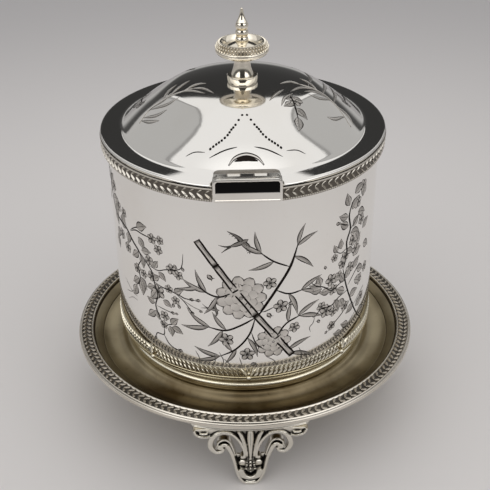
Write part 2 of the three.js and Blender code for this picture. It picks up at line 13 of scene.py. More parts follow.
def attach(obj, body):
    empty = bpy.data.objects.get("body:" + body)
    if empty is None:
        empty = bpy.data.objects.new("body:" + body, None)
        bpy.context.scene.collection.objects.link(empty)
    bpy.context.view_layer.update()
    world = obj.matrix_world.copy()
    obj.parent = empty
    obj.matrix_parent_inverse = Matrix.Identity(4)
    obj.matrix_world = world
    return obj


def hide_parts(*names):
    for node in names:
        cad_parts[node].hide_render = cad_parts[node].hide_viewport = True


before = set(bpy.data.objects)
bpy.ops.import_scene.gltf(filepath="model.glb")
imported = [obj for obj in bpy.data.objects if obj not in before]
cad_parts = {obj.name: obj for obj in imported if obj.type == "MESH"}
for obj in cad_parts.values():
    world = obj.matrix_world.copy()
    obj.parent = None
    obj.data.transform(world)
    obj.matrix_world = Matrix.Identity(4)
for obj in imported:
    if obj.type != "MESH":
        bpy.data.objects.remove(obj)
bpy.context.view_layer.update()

MM = 0.001
TURN = 2 * math.pi

# Sizes shared with the CAD, in millimetres
tray_radius = 95.1
flange_top = 46.6
flange_inner = 86.6
fold_radius = 81.5
well_radius = 74.45
seat_radius = 67.4
seat_top = 46.3
tray_sheet = 1.6
foot_height = 45
drum_radius = 70
wall_bottom = 58.0
wall_top = 166.5
wall_inner = 68.8
base_radius = 65.7
roll_radius = 67.1
roll_top = 50.7
collar_radius = 73.3
collar_bottom = 160.1
collar_top = 167.3
brim_radius = 73
brim_bottom = 167.6
brim_top = 169.5
crown_top = 191.5
hinge_radius = 71
hinge_height = 172.4
block_half = 15.75
notch_half = 16.05
stud_hole = 1.5
bolt_hole = 2.6


# Node trees, for finishes and for rules that repeat or bend a shape

class Level:
    """A number in a node tree. Sums and products with it add Math nodes."""

    def __init__(self, tree, socket):
        self.tree, self.socket = tree, socket

    def math(self, operation, *values):
        made = add(self.tree, "ShaderNodeMath", {"operation": operation}, dict(enumerate(values)))
        return Level(self.tree, made.outputs[0])

    def __add__(self, other):
        return self.math("ADD", self, other)

    def __radd__(self, other):
        return self.math("ADD", other, self)

    def __sub__(self, other):
        return self.math("SUBTRACT", self, other)

    def __rsub__(self, other):
        return self.math("SUBTRACT", other, self)

    def __mul__(self, other):
        return self.math("MULTIPLY", self, other)

    def __truediv__(self, other):
        return self.math("DIVIDE", self, other)

    def __pow__(self, other):
        return self.math("POWER", self, other)

    def step(self, low, high):
        """0 under low, 1 over high, smooth between them."""
        made = add(self.tree, "ShaderNodeMapRange", {"interpolation_type": "SMOOTHSTEP"},
                   {"Value": self, "From Min": low, "From Max": high})
        return Level(self.tree, made.outputs[0])


def add(tree, kind, settings=None, inputs=None):
    """Adds one node: its settings first, then the values or links of its sockets."""
    made = tree.nodes.new(kind)
    for name, value in (settings or {}).items():
        setattr(made, name, value)
    for key, value in (inputs or {}).items():
        socket = made.inputs[key] if isinstance(key, int) else \
            next(s for s in made.inputs if s.name == key and s.enabled)
        link(tree, socket, value)
    return made


def result(tree, kind, settings=None, inputs=None):
    """Adds one node and gives its first output."""
    return add(tree, kind, settings, inputs).outputs[0]


def link(tree, socket, value):
    if isinstance(value, Level):
        value = value.socket
    if isinstance(value, bpy.types.NodeSocket):
        tree.links.new(value, socket)
    else:
        socket.default_value = value


def axes(tree, place):
    """The three parts of a vector."""
    parts = add(tree, "ShaderNodeSeparateXYZ", {}, {0: place})
    return [Level(tree, parts.outputs[i]) for i in range(3)]


class Finish:
    """A metal finish on one Principled shader, in Object coordinates."""

    def __init__(self, name, **fixed):
        self.material = bpy.data.materials.new(name)
        self.material.use_nodes = True
        self.tree = self.material.node_tree
        self.shader = self.tree.nodes["Principled BSDF"]
        self.place = add(self.tree, "ShaderNodeTexCoord").outputs["Object"]
        for name, value in fixed.items():
            self.shader.inputs[name.replace("_", " ").title()].default_value = value

    def level(self, kind, settings, inputs, output):
        return Level(self.tree, add(self.tree, kind, settings, inputs).outputs[output])

    def noise(self, scale, detail=2, at=None, roughness=0.5):
        inputs = {"Vector": at or self.place, "Scale": scale, "Detail": detail,
                  "Roughness": roughness}
        return self.level("ShaderNodeTexNoise", {}, inputs, "Fac")

    def vector(self, x, y, z):
        return result(self.tree, "ShaderNodeCombineXYZ", {}, {0: x, 1: y, 2: z})

    def attribute(self, name):
        return self.level("ShaderNodeAttribute", {"attribute_name": name}, {}, "Fac")

    def mix(self, share, first, second):
        """A colour between two. The node's third output is the colour one."""
        inputs = {"Factor": share, "A": first, "B": second}
        return add(self.tree, "ShaderNodeMix", {"data_type": "RGBA"}, inputs).outputs[2]

    def use(self, **values):
        for name, value in values.items():
            link(self.tree, self.shader.inputs[name.replace("_", " ").title()], value)

    def bump(self, height, strength, distance):
        normal = result(self.tree, "ShaderNodeBump", {}, {
            "Strength": strength, "Distance": distance, "Height": height})
        self.use(normal=normal)


def colour(red, green, blue):
    """A colour written in screen values from 0 to 255."""
    line = [c / 255 for c in (red, green, blue)]
    return (*[c / 12.92 if c <= 0.04045 else ((c + 0.055) / 1.055) ** 2.4 for c in line], 1)


# Meshes

def spline(points, per):
    """Points of a smooth line through the given ones."""
    points = np.asarray(points, float)
    ends = np.vstack([2 * points[0] - points[1], points, 2 * points[-1] - points[-2]])
    steps = np.linspace(0, 1, per, endpoint=False)[:, None]
    line = []
    for a, b, c, d in zip(ends, ends[1:], ends[2:], ends[3:]):
        line.append(0.5 * (2 * b + (c - a) * steps + (2 * a - 5 * b + 4 * c - d) * steps ** 2
                           + (3 * b - a - 3 * c + d) * steps ** 3))
    return np.vstack([*line, points[-1:]])


class Outline:
    """Half section of a turned piece: radius, height, and shade from 0 (bright) to 1 (dark)."""

    def __init__(self, radius, height, shade=0.0):
        self.points, self.shade = [(radius, height, shade)], shade

    def tone(self, shade):
        self.shade = shade
        return self

    def line(self, radius, height):
        self.points.append((radius, height, self.shade))
        return self

    def curve(self, r1, z1, r2, z2, radius, height, steps=12):
        r0, z0 = self.points[-1][:2]
        for t in np.linspace(0, 1, steps + 1)[1:]:
            weights = ((1 - t) ** 3, 3 * t * (1 - t) ** 2, 3 * t * t * (1 - t), t ** 3)
            self.points.append((np.dot(weights, (r0, r1, r2, radius)),
                                np.dot(weights, (z0, z1, z2, height)), self.shade))
        return self

    def bend(self, r1, z1, radius, height, steps=6):
        r0, z0 = self.points[-1][:2]
        thirds = [r0 + (r1 - r0) * 2 / 3, z0 + (z1 - z0) * 2 / 3,
                  radius + (r1 - radius) * 2 / 3, height + (z1 - height) * 2 / 3]
        return self.curve(*thirds, radius, height, steps)


def write(mesh, name, values):
    """Keeps a number for each point of a mesh, under a name."""
    kept = mesh.attributes.get(name) or mesh.attributes.new(name, "FLOAT", "POINT")
    kept.data.foreach_set("value", np.asarray(values, float))


def shape(name, vertices, faces, crease=35, shade=None):
    """A mesh from millimetres, smooth but for edges sharper than the crease."""
    mesh = bpy.data.meshes.new(name)
    places = (np.asarray(vertices, float) * MM).tolist()
    mesh.from_pydata(places, [], [list(map(int, f)) for f in faces])
    mesh.validate()
    if shade is not None:
        write(mesh, "shade", shade)
    outward(mesh)
    mesh.shade_smooth()
    mesh.set_sharp_from_angle(angle=math.radians(crease))
    return mesh


def outward(mesh):
    """Turns a closed mesh's faces outwards, by the sign of its volume."""
    places = np.empty(len(mesh.vertices) * 3)
    mesh.vertices.foreach_get("co", places)
    places = places.reshape(-1, 3)
    mesh.calc_loop_triangles()
    corners = np.empty(len(mesh.loop_triangles) * 3, int)
    mesh.loop_triangles.foreach_get("vertices", corners)
    a, b, c = (places[corners.reshape(-1, 3)[:, i]] for i in range(3))
    if np.einsum("ij,ij->", a, np.cross(b, c)) < 0:
        mesh.flip_normals()


def turned_mesh(name, outline, sides=224):
    """Turns a half section round the Z axis and closes it. Points on the axis become one."""
    angles = np.arange(sides) * TURN / sides
    vertices, rows, shades = [], [], []
    for radius, height, tone in outline.points:
        if radius < 1e-6:
            rows.append([len(vertices)] * sides)
            vertices.append((0, 0, height))
            shades.append(tone)
        else:
            rows.append(list(range(len(vertices), len(vertices) + sides)))
            vertices += [(radius * math.sin(a), -radius * math.cos(a), height) for a in angles]
            shades += [tone] * sides
    faces = []
    for low, high in zip(rows, rows[1:] + rows[:1]):
        for i in range(sides):
            j = (i + 1) % sides
            corners = [low[i], low[j], high[j], high[i]]
            corners = [c for k, c in enumerate(corners) if c != corners[k - 1]]
            if len(set(corners)) > 2:
                faces.append(corners)
    return shape(name, vertices, faces, shade=shades)


def toned(mesh, tone):
    """Writes a tone worked out from each point's place in millimetres as shade."""
    write(mesh, "shade", [tone(*(v.co / MM)) for v in mesh.vertices])


def placed(name, data):
    """A new object in the scene."""
    made = bpy.data.objects.new(name, data)
    bpy.context.scene.collection.objects.link(made)
    return made


def piece(name, mesh, finish, body, slot, *nodes):
    """Puts a finished mesh in the scene, on its body, standing for its CAD nodes."""
    mesh.name = name
    mesh.materials.clear()
    mesh.materials.append(finish.material)
    made = placed(name, mesh)
    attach(made, body)
    if nodes:
        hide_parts(*nodes)
    return made


def turned_piece(name, outline, finish, body, slot, node, sides=224):
    """A turned outline as a piece that stands for one CAD node."""
    return piece(name, turned_mesh(name, outline, sides), finish, body, slot, node)


def baked(mesh, *steps):
    """The mesh after its modifiers. Each step is a modifier's type and a function that sets it."""
    holder = placed("holder", mesh)
    for kind, setting in steps:
        setting(holder.modifiers.new("step", kind))
    bpy.context.view_layer.update()
    graph = bpy.context.evaluated_depsgraph_get()
    made = bpy.data.meshes.new_from_object(holder.evaluated_get(graph), depsgraph=graph)
    holder.modifiers.clear()
    bpy.data.objects.remove(holder)
    return made


def cut_by(mesh, cutter):
    """The mesh less the cutter."""
    tool = placed("tool", cutter)

    def setting(step):
        step.operation, step.solver, step.object = "DIFFERENCE", "EXACT", tool
    made = baked(mesh, ("BOOLEAN", setting))
    bpy.data.objects.remove(tool)
    return made


def merged(name, meshes):
    """One mesh of several."""
    holders = [placed(name, m) for m in meshes]
    with bpy.context.temp_override(active_object=holders[0], selected_editable_objects=holders):
        bpy.ops.object.join()
    mesh = holders[0].data
    bpy.data.objects.remove(holders[0])
    return mesh


# Finishes

def silver(name, bright, dark, rough, spun=0.0, cloud=0.35, dent=0.15, patina_and_painted_shade=(90, 80, 66),
           front=0.0):
    """Plate with a warm cloudy tarnish, hairlines from polishing and faint unevenness. A dark
    colour lies where a mesh's shade says: tarnish in hollows and grooves, and in places painted
    shade and a painted dark reflection. Front paints shade on the side of the hinge."""
    f = Finish(name, metallic=1.0)
    x, y, z = axes(f.tree, f.place)
    radius = (x * x + y * y) ** 0.5
    hairlines, cloud_scale, spot_scale, grain_scale = 2600, 26, 420, 900
    rings = f.noise(1.0, 3, f.vector(radius * hairlines, z * hairlines, 0.0), 0.7)
    clouds = f.noise(cloud_scale, 4)
    spots = f.noise(spot_scale, 3)
    # Painted shade: front paints the side towards the hinge darker
    hinge_side_painted_shade = (0 - y).step(0.03, 0.08)
    stain_and_painted_shade = clouds.step(0.42, 0.78) * cloud + spots.step(0.6, 0.8) * 0.12 + hinge_side_painted_shade * front
    # The shade attribute brings in the dark colour: tarnish in grooves and band grounds, painted
    # shade in slots and recesses, and a painted dark reflection on the hinge panel
    shade = f.attribute("shade")
    plain = f.mix(stain_and_painted_shade, colour(*bright), colour(*dark))
    f.use(base_color=f.mix(shade, plain, colour(*patina_and_painted_shade)),
          roughness=rough + clouds * 0.05 + rings * spun + shade * 0.25)
    f.bump(clouds * dent + rings * spun + f.noise(grain_scale, 2) * 0.06, strength=0.25,
           distance=0.4 * MM)
    return f


polished = silver("polished_silver", (247, 245, 241), (226, 219, 208), 0.045, cloud=0.2)
spun = silver("spun_silver", (240, 237, 231), (206, 197, 182), 0.07, spun=0.12)
turned_silver = silver("turned_silver", (244, 237, 222), (220, 206, 180), 0.05, spun=0.05)
cast_silver = silver("cast_silver", (226, 222, 212), (190, 182, 168), 0.16, dent=0.6,
                     patina_and_painted_shade=(24, 21, 20))
rolled_silver = silver("rolled_silver", (205, 200, 191), (160, 152, 140), 0.2, dent=0.4,
                       patina_and_painted_shade=(70, 63, 55))
# front paints shade on the hinge side of the tray's dish
tarnished = silver("tarnished_silver", (172, 160, 132), (78, 64, 41), 0.2, spun=0.22, cloud=0.55,
                   patina_and_painted_shade=(58, 48, 34), front=0.85)
dull = silver("dull_metal", (170, 164, 152), (120, 112, 98), 0.35)
worn_silver = silver("worn_silver", (246, 240, 220), (226, 213, 182), 0.2, dent=0.4,
                     patina_and_painted_shade=(150, 136, 106))
hinge_silver = silver("hinge_silver", (244, 241, 235), (220, 212, 200), 0.06, patina_and_painted_shade=(30, 29, 29))
edge_silver = silver("edge_silver", (222, 216, 205), (170, 160, 144), 0.12, dent=0.4,
                     patina_and_painted_shade=(26, 22, 18))
border_silver = silver("border_silver", (160, 153, 142), (112, 104, 92), 0.17, dent=0.4,
                       patina_and_painted_shade=(54, 48, 41))
light_silver = silver("light_silver", (232, 226, 208), (204, 192, 164), 0.13, dent=0.5,
                      patina_and_painted_shade=(96, 86, 70))


# Rules that repeat, ink or bend a shape, in Geometry Nodes. Each ends with the finish it is given

def rule(name, **sockets):
    """A tree with Geometry in and out, the inputs given and one for the finish."""
    tree = bpy.data.node_groups.new(name, "GeometryNodeTree")
    for way in ("OUTPUT", "INPUT"):
        tree.interface.new_socket("Geometry", in_out=way, socket_type="NodeSocketGeometry")
    for label, kind in {**sockets, "Finish": "Material"}.items():
        tree.interface.new_socket(label, in_out="INPUT", socket_type="NodeSocket" + kind)
    return tree, add(tree, "NodeGroupInput").outputs


def give(tree, given, geometry):
    """Ends a tree: instances made real, and the finish set."""
    real = result(tree, "GeometryNodeRealizeInstances", {}, {"Geometry": geometry})
    done = result(tree, "GeometryNodeSetMaterial", {}, {"Geometry": real,
                  "Material": given["Finish"]})
    add(tree, "NodeGroupOutput", {}, {"Geometry": done})
    return tree


def stored(tree, name):
    return result(tree, "GeometryNodeInputNamedAttribute", {"data_type": "FLOAT"}, {"Name": name})


def of_object(tree, socket):
    return add(tree, "GeometryNodeObjectInfo", {}, {"Object": socket}).outputs["Geometry"]


def set_places(tree, given, places):
    """Ends a tree with the points of its geometry at new places."""
    inputs = {"Geometry": given["Geometry"], "Position": places}
    return give(tree, given, result(tree, "GeometryNodeSetPosition", {}, inputs))


def ring_rule():
    """Repeats a shape round the Z axis, with an opening left at the front."""
    tree, given = rule("round_the_rim", Count="Int", Opening="Float", Start="Float")
    count, opening, start = (Level(tree, given[n]) for n in ("Count", "Opening", "Start"))
    index = Level(tree, result(tree, "GeometryNodeInputIndex"))
    angle = start + opening / 2 + (index + 0.5) * (TURN - opening) / count
    turn = result(tree, "ShaderNodeCombineXYZ", {}, {2: angle})
    points = result(tree, "GeometryNodePoints", {}, {"Count": given["Count"]})
    return give(tree, given, result(tree, "GeometryNodeInstanceOnPoints", {}, {
        "Points": points, "Instance": given["Geometry"], "Rotation": turn}))


def ink_rule():
    """Turns drawn lines into low ridges, as wide as their own half width says."""
    tree, given = rule("cut_lines", Rise="Float")
    lines = result(tree, "GeometryNodeMeshToCurve", {}, {"Mesh": given["Geometry"]})
    upright = result(tree, "GeometryNodeSetCurveNormal", {"mode": "Z_UP"}, {"Curve": lines})
    section = result(tree, "GeometryNodeCurvePrimitiveCircle", {"mode": "RADIUS"}, {
        "Resolution": 3, "Radius": 1.15})
    flat = result(tree, "GeometryNodeTransform", {}, {
        "Geometry": section, "Rotation": (0, 0, TURN / 4), "Scale": (0.16, 1, 1)})
    ridges = result(tree, "GeometryNodeCurveToMesh", {}, {
        "Curve": upright, "Profile Curve": flat, "Scale": stored(tree, "half"), "Fill Caps": True})
    lift = result(tree, "ShaderNodeCombineXYZ", {}, {2: given["Rise"]})
    return give(tree, given, result(tree, "GeometryNodeSetPosition", {}, {
        "Geometry": ridges, "Offset": lift}))


def scatter_rule():
    """Sets a motif on each drawn point, with the point's own turn and size."""
    tree, given = rule("set_motifs", Motif="Object")
    angles = result(tree, "ShaderNodeCombineXYZ", {}, {2: stored(tree, "turn")})
    return give(tree, given, result(tree, "GeometryNodeInstanceOnPoints", {}, {
        "Points": given["Geometry"], "Instance": of_object(tree, given["Motif"]),
        "Rotation": angles, "Scale": stored(tree, "size")}))


def wrap_rule():
    """Bends a flat drawing round a drum: x runs round it, y up, z out of it."""
    tree, given = rule("wrap_on_drum", Radius="Float")
    across, rise, lift = axes(tree, result(tree, "GeometryNodeInputPosition"))
    radius = Level(tree, given["Radius"])
    angle, reach = across / radius, radius + lift
    return set_places(tree, given, result(tree, "ShaderNodeCombineXYZ", {}, {
        0: reach * angle.math("SINE", angle), 1: 0 - reach * angle.math("COSINE", angle), 2: rise}))


def drop_rule():
    """Lays a flat drawing, seen from above, on the lid. Its z stays as height over the surface."""
    tree, given = rule("lay_on_lid", Lid="Object")
    across, depth, lift = axes(tree, result(tree, "GeometryNodeInputPosition"))
    over = 0.3
    above = result(tree, "ShaderNodeCombineXYZ", {}, {0: across, 1: depth, 2: over})
    found = add(tree, "GeometryNodeRaycast", {}, {
        "Target Geometry": of_object(tree, given["Lid"]), "Source Position": above,
        "Ray Direction": (0, 0, -1), "Ray Length": over}).outputs
    outward_lift = result(tree, "ShaderNodeVectorMath", {"operation": "SCALE"}, {
        "Vector": found["Hit Normal"], "Scale": lift})
    return set_places(tree, given, result(tree, "ShaderNodeVectorMath", {"operation": "ADD"}, {
        0: found["Hit Position"], 1: outward_lift}))


def recess_rule():
    """Writes how far each point lies below its surroundings as shade, for a dense mesh. It paints
    shade into the recesses, together with the tarnish that lies there.
    """
    tree, given = rule("darken_recesses", Low="Float", High="Float")
    place = result(tree, "GeometryNodeInputPosition")
    facing = result(tree, "GeometryNodeInputNormal")
    mean = result(tree, "GeometryNodeBlurAttribute", {"data_type": "FLOAT_VECTOR"}, {
        "Value": place, "Iterations": 36})
    away = result(tree, "ShaderNodeVectorMath", {"operation": "SUBTRACT"}, {0: mean, 1: place})
    depth = add(tree, "ShaderNodeVectorMath", {"operation": "DOT_PRODUCT"}, {0: away, 1: facing})
    shade = Level(tree, depth.outputs["Value"]).step(given["Low"], given["High"])
    return give(tree, given, result(tree, "GeometryNodeStoreNamedAttribute", {"data_type": "FLOAT"},
                {"Geometry": given["Geometry"], "Name": "shade", "Value": shade}))


def grown(mesh, tree, finish, **values):
    """The mesh that a rule makes of another one. Inputs are set by their sockets' identifiers."""
    names = {item.name: item.identifier for item in tree.interface.items_tree
             if item.item_type == "SOCKET" and item.in_out == "INPUT"}

    def setting(step):
        step.node_group = tree
        for name, value in {**values, "Finish": finish.material}.items():
            step[names[name]] = value
    return baked(mesh, ("NODES", setting))


around, inked, scattered = ring_rule(), ink_rule(), scatter_rule()
wrapped, laid, recessed = wrap_rule(), drop_rule(), recess_rule()


# Swept and drawn shapes

def swept(stations):
    """A closed bar through rings of the same number of points."""
    stations = np.asarray(stations, float)
    count, corners = stations.shape[:2]
    faces = []
    for i in range(0, (count - 1) * corners, corners):
        for j in range(corners):
            k = (j + 1) % corners
            faces.append((i + j, i + k, i + corners + k, i + corners + j))
    faces.append(tuple(range(corners - 1, -1, -1)))
    faces.append(tuple((count - 1) * corners + j for j in range(corners)))
    return stations.reshape(-1, 3), faces


def together(parts):
    """Several lists of points and faces as one."""
    vertices, faces, start = [], [], 0
    for points, sides in parts:
        vertices.append(points)
        faces += [tuple(start + c for c in side) for side in sides]
        start += len(points)
    return np.vstack(vertices), faces


def lobe(points, per, halves, section, place):
    """A petal or leaf along a smooth line of (u, v), with its half widths spread evenly. The
    section gives points across it (-1 to 1) and their height, and place turns (u, v, height)
    into a point of the object."""
    line = spline(points, per)
    halves = np.interp(np.linspace(0, 1, len(line)), np.linspace(0, 1, len(halves)), halves)
    along = np.gradient(line, axis=0)
    along /= np.linalg.norm(along, axis=1)[:, None]
    across = np.stack([-along[:, 1], along[:, 0]], 1)
    stations = []
    for point, side, half in zip(line, across, halves):
        stations.append([place(*(point + side * half * a), h * min(1, 0.25 + half / max(halves)))
                         for a, h in section])
    return swept(stations)


def on_drum(radius):
    return lambda s, z, lift: ((radius + lift) * math.sin(s / radius),
                               -(radius + lift) * math.cos(s / radius), z)


def on_flat(level, middle):
    """Points on a level ring: u runs round it at the middle radius, v is the radius."""
    return lambda s, r, lift: (r * math.sin(s / middle), -r * math.cos(s / middle), level + lift)


def inset(outline, amount):
    """A closed outline moved inwards. It runs counterclockwise."""
    points = np.asarray(outline, float)
    before, after = points - np.roll(points, 1, 0), np.roll(points, -1, 0) - points
    before /= np.linalg.norm(before, axis=1)[:, None]
    after /= np.linalg.norm(after, axis=1)[:, None]
    inward = np.stack([-(before + after)[:, 1], (before + after)[:, 0]], 1)
    spread = np.maximum(1 + (before * after).sum(1), 0.4)
    return points + inward / spread[:, None] * amount


def plate(outline, steps, place):
    """A closed plate. Each step gives how far in its outline lies, and its height."""
    return swept([[place(*point, lift) for point in inset(outline, amount)]
                  for amount, lift in steps])


def as_drawn(x, y, lift):
    return x, y, lift


def both_sides(line):
    """A half outline drawn on the right from bottom to top, with its mirror image on the left."""
    return line + [(-u, w) for u, w in reversed(line) if u > 0]


def ring(x, y, wide, tall, sides):
    """Points round an ellipse."""
    return [(x + wide * math.cos(a), y + tall * math.sin(a))
            for a in np.arange(sides) * TURN / sides]


def boss(x, y, wide, tall, sides, rows, place):
    """A raised bead. Each row gives its share of the width, and its height."""
    return swept([[place(*point, lift) for point in ring(x, y, wide * share, tall * share, sides)]
                  for share, lift in rows])


def rod(radius, start, end, y, z):
    """A round bar along X with eased ends."""
    ease = 0.15
    return swept([[(x, *point) for point in ring(y, z, r, r, 32)]
                  for x, r in ((start, radius - ease), (start + ease, radius),
                               (end - ease, radius), (end, radius - ease))])


def box(low, high):
    """A plain block between two corners."""
    (x0, y0, z0), (x1, y1, z1) = low, high
    return swept([[(x, y, z) for y, z in ((y0, z0), (y1, z0), (y1, z1), (y0, z1))]
                  for x in (x0, x1)])


# Turned pieces of the tray and drum

well = flange_top - 4.6
fold = flange_top - 2.7
well_under, seat_under = well - tray_sheet, seat_top - tray_sheet
dish = Outline(bolt_hole, seat_top).line(40, seat_top).line(seat_radius, seat_top) \
    .curve(seat_radius + 2, seat_top - 0.2, seat_radius + 1.4, well, well_radius, well) \
    .curve(well_radius + 3, well, fold_radius - 2.5, well + 0.4, fold_radius - 0.25, fold - 0.25) \
    .tone(1).line(fold_radius, fold - 0.35).tone(0.2).line(fold_radius + 0.3, fold + 0.05) \
    .line(flange_inner - 0.6, flange_top - 0.25).tone(1) \
    .bend(flange_inner, flange_top, 87.3, flange_top).line(93.2, flange_top).tone(0) \
    .line(93.2, foot_height).line(87, foot_height).line(fold_radius + 0.4, fold - tray_sheet) \
    .curve(fold_radius - 2, well + 0.2 - tray_sheet, well_radius + 3, well_under,
        well_radius, well_under) \
    .curve(seat_radius + 0.6, well_under, seat_radius + 1, seat_under,
        seat_radius - 1.2, seat_under).line(bolt_hole, seat_under)
turned_piece("tray_dish_spun", dish, tarnished, "barrel", "tarnished_silver", "tray_dish")

bead_top = flange_top + 2.25
groove = flange_top + 1.35
edge_low = foot_height + 0.2
border = Outline(86.95, flange_top, 0.6).tone(0).line(86.95, groove) \
    .bend(87.5, bead_top + 0.2, 88.05, groove).tone(0.9).line(88.2, groove - 0.15) \
    .line(92.9, groove - 0.15).line(93.05, groove).tone(0) \
    .bend(93.55, bead_top + 0.2, 94.1, groove).tone(0.8).line(94.2, groove - 0.2).tone(0) \
    .curve(95.05, groove - 0.2, tray_radius + 0.05, 46.8, tray_radius, 46.4) \
    .bend(tray_radius, edge_low, 94.1, edge_low).line(93.25, edge_low).line(93.25, flange_top)
turned_piece("tray_border_moulding", border, edge_silver, "barrel", "oxidised_silver",
             "tray_border")

wall = Outline(wall_inner, wall_bottom).line(drum_radius, wall_bottom).line(drum_radius, wall_top) \
    .line(wall_inner, wall_top)
turned_piece("drum_wall_sheet", wall, polished, "barrel", "polished_silver", "drum_wall")

lip = drum_radius + 0.5
base = Outline(63.1, seat_top).tone(0.7).line(base_radius, seat_top).tone(0) \
    .curve(roll_radius + 0.4, seat_top + 0.3, roll_radius + 0.4, roll_top - 0.4, 66.5, roll_top) \
    .tone(0.6).line(66.2, roll_top + 0.25).tone(0.05) \
    .curve(66.6, roll_top + 3, lip - 2.4, wall_bottom - 2.4, lip, wall_bottom - 1) \
    .line(lip, wall_bottom).line(wall_inner, wall_bottom) \
    .curve(wall_inner - 0.6, wall_bottom - 2, 65.2, roll_top + 2, 65, roll_top) \
    .line(65, 47.1).line(63.1, 47.1)
turned_piece("drum_base_moulding", base, worn_silver, "barrel", "polished_silver", "drum_base_ring")

garland_ground = Outline(70.05, wall_bottom).tone(0.1).line(70.25, wall_bottom).line(70.3, 63.9) \
    .line(70.05, 64)
turned_piece("garland_ground", garland_ground, light_silver, "barrel", "oxidised_silver",
             "garland_band")

ground = collar_radius - 0.7
collar = Outline(70.05, collar_bottom).tone(0.6).line(ground - 0.3, collar_bottom) \
    .line(ground - 0.1, 161.3).tone(0.85).line(ground, 161.4).line(ground, 166.15).tone(0) \
    .line(73.2, 166.5).line(collar_radius, 166.7).line(collar_radius, 167.15) \
    .line(73.1, collar_top).line(wall_inner, collar_top).line(wall_inner, wall_top) \
    .line(70.05, wall_top)
collar_mesh = cut_by(turned_mesh("collar_ground", collar),
                     shape("notch", *box((-notch_half, -80, 158), (notch_half, 0, 170))))
piece("collar_ground", collar_mesh, rolled_silver, "barrel", "oxidised_silver", "collar_band")

# Lid

def lid_outline(outline):
    """Outer face of the lid from the crown to the edge of the brim."""
    def up(rise):
        return brim_top + rise
    return outline.line(7.6, up(22)) \
        .curve(17.1, up(22), 26.6, up(21.6), 33.6, up(19.9), 16) \
        .curve(38.6, up(18.7), 43, up(15.4), 47.5, up(12.2), 16) \
        .curve(52, up(9), 56.2, up(5.6), 60.3, up(2), 16) \
        .curve(61.6, up(0.9), 62.3, up(0), 64.8, up(0), 12) \
        .line(71.4, up(0)).bend(brim_radius, up(0), brim_radius, up(-0.9))


dome = lid_outline(Outline(stud_hole, crown_top)).line(72.5, brim_bottom).line(63, brim_bottom) \
    .line(61.6, 168.6).curve(57, 172, 51.5, 176.8, 46.7, 180.5) \
    .curve(42.2, 183.6, 38, 187.1, 33.3, 188.2).curve(26, 189.9, 17, 190.3, 7.6, 190.3) \
    .line(stud_hole, 190.3)
dome_mesh = cut_by(turned_mesh("lid_dome_spun", dome, sides=256),
                   shape("notch", *box((-notch_half, -80, 166), (notch_half, -68.7, 172))))
wear_left, wear_right, wear_ease, wear_start, wear_depth = 33, 27, 9, 64, 0.5
for point in dome_mesh.vertices:
    x, y, z = point.co / MM
    turn = math.degrees(math.atan2(x, -y))
    worn = max(0, min(1, (min(turn + wear_left, wear_right - turn)) / wear_ease)) \
        * max(0, math.hypot(x, y) - wear_start) / (brim_radius - wear_start)
    if z > brim_bottom:
        point.co.z -= wear_depth * worn * min(1, z - brim_bottom) * MM
lid_dome = piece("lid_dome_spun", dome_mesh, polished, "lid", "polished_silver", "lid_dome")

# Finial

ring_top = 194.8
saucer_low = 203.8
stem = Outline(stud_hole, crown_top - 0.3).line(7.3, crown_top - 0.3).line(7.5, crown_top + 0.2) \
    .bend(7.9, crown_top + 1.2, 7.75, ring_top - 0.3).line(7.45, ring_top).tone(0.5) \
    .line(5.75, ring_top - 0.1).tone(0).curve(4.8, 197.2, 3.75, 199.8, 4.1, saucer_low - 0.6) \
    .line(5.2, saucer_low).line(stud_hole, saucer_low)
turned_piece("finial_stem_turned", stem, turned_silver, "lid", "turned_silver", "finial_stem",
             sides=96)

saucer_rim = saucer_low + 8.4
saucer = Outline(stud_hole, saucer_low).line(5.4, saucer_low) \
    .curve(9, saucer_low + 0.2, 12.2, saucer_low + 1.4, 13.3, saucer_low + 3.2) \
    .bend(13.5, saucer_low + 3.9, 13.2, saucer_low + 4.5).tone(0.5).line(13, saucer_low + 4.7) \
    .tone(0.75).bend(12.6, saucer_low + 6.8, 10.9, saucer_rim - 0.2).tone(0) \
    .bend(10.4, saucer_rim + 0.2, 10, saucer_rim - 0.2).line(9.2, saucer_rim - 1.9).tone(0.3) \
    .line(8.8, saucer_rim - 2.6).tone(0) \
    .curve(7.8, saucer_rim - 2.3, 5, saucer_rim - 1.1, 2.8, saucer_rim - 0.7) \
    .line(stud_hole, saucer_rim - 0.9)
turned_piece("finial_saucer_turned", saucer, turned_silver, "lid", "turned_silver", "finial_saucer",
             sides=128)

spire_low = 210.9
ball_height = 3.52
spire = Outline(stud_hole, spire_low).line(2.9, spire_low)
for index in range(3):
    low = spire_low + ball_height * index
    spire.bend(3.75, low + ball_height / 2, 2.75, low + 3.4, 8).line(2.75, low + ball_height)
spire.curve(1.9, 222.8, 1.1, 224.6, 0.72, 227.6).bend(0.65, 228.45, 0, 228.5) \
    .line(0, 215.2).line(stud_hole, 215.2)
turned_piece("finial_spire_turned", spire, turned_silver, "lid", "turned_silver", "finial_spire",
             sides=80)

# Die-rolled bands: leaves and beads that repeat

def band(name, parts, finish, body, slot, count, opening=0.0, start=0.0):
    """Repeats a motif so many times round the axis, with an opening at the start angle."""
    motif = shape(name, *together(parts), crease=50)
    repeated = grown(motif, around, finish, Count=count, Opening=opening, Start=start)
    return piece(name, repeated, finish, body, slot)


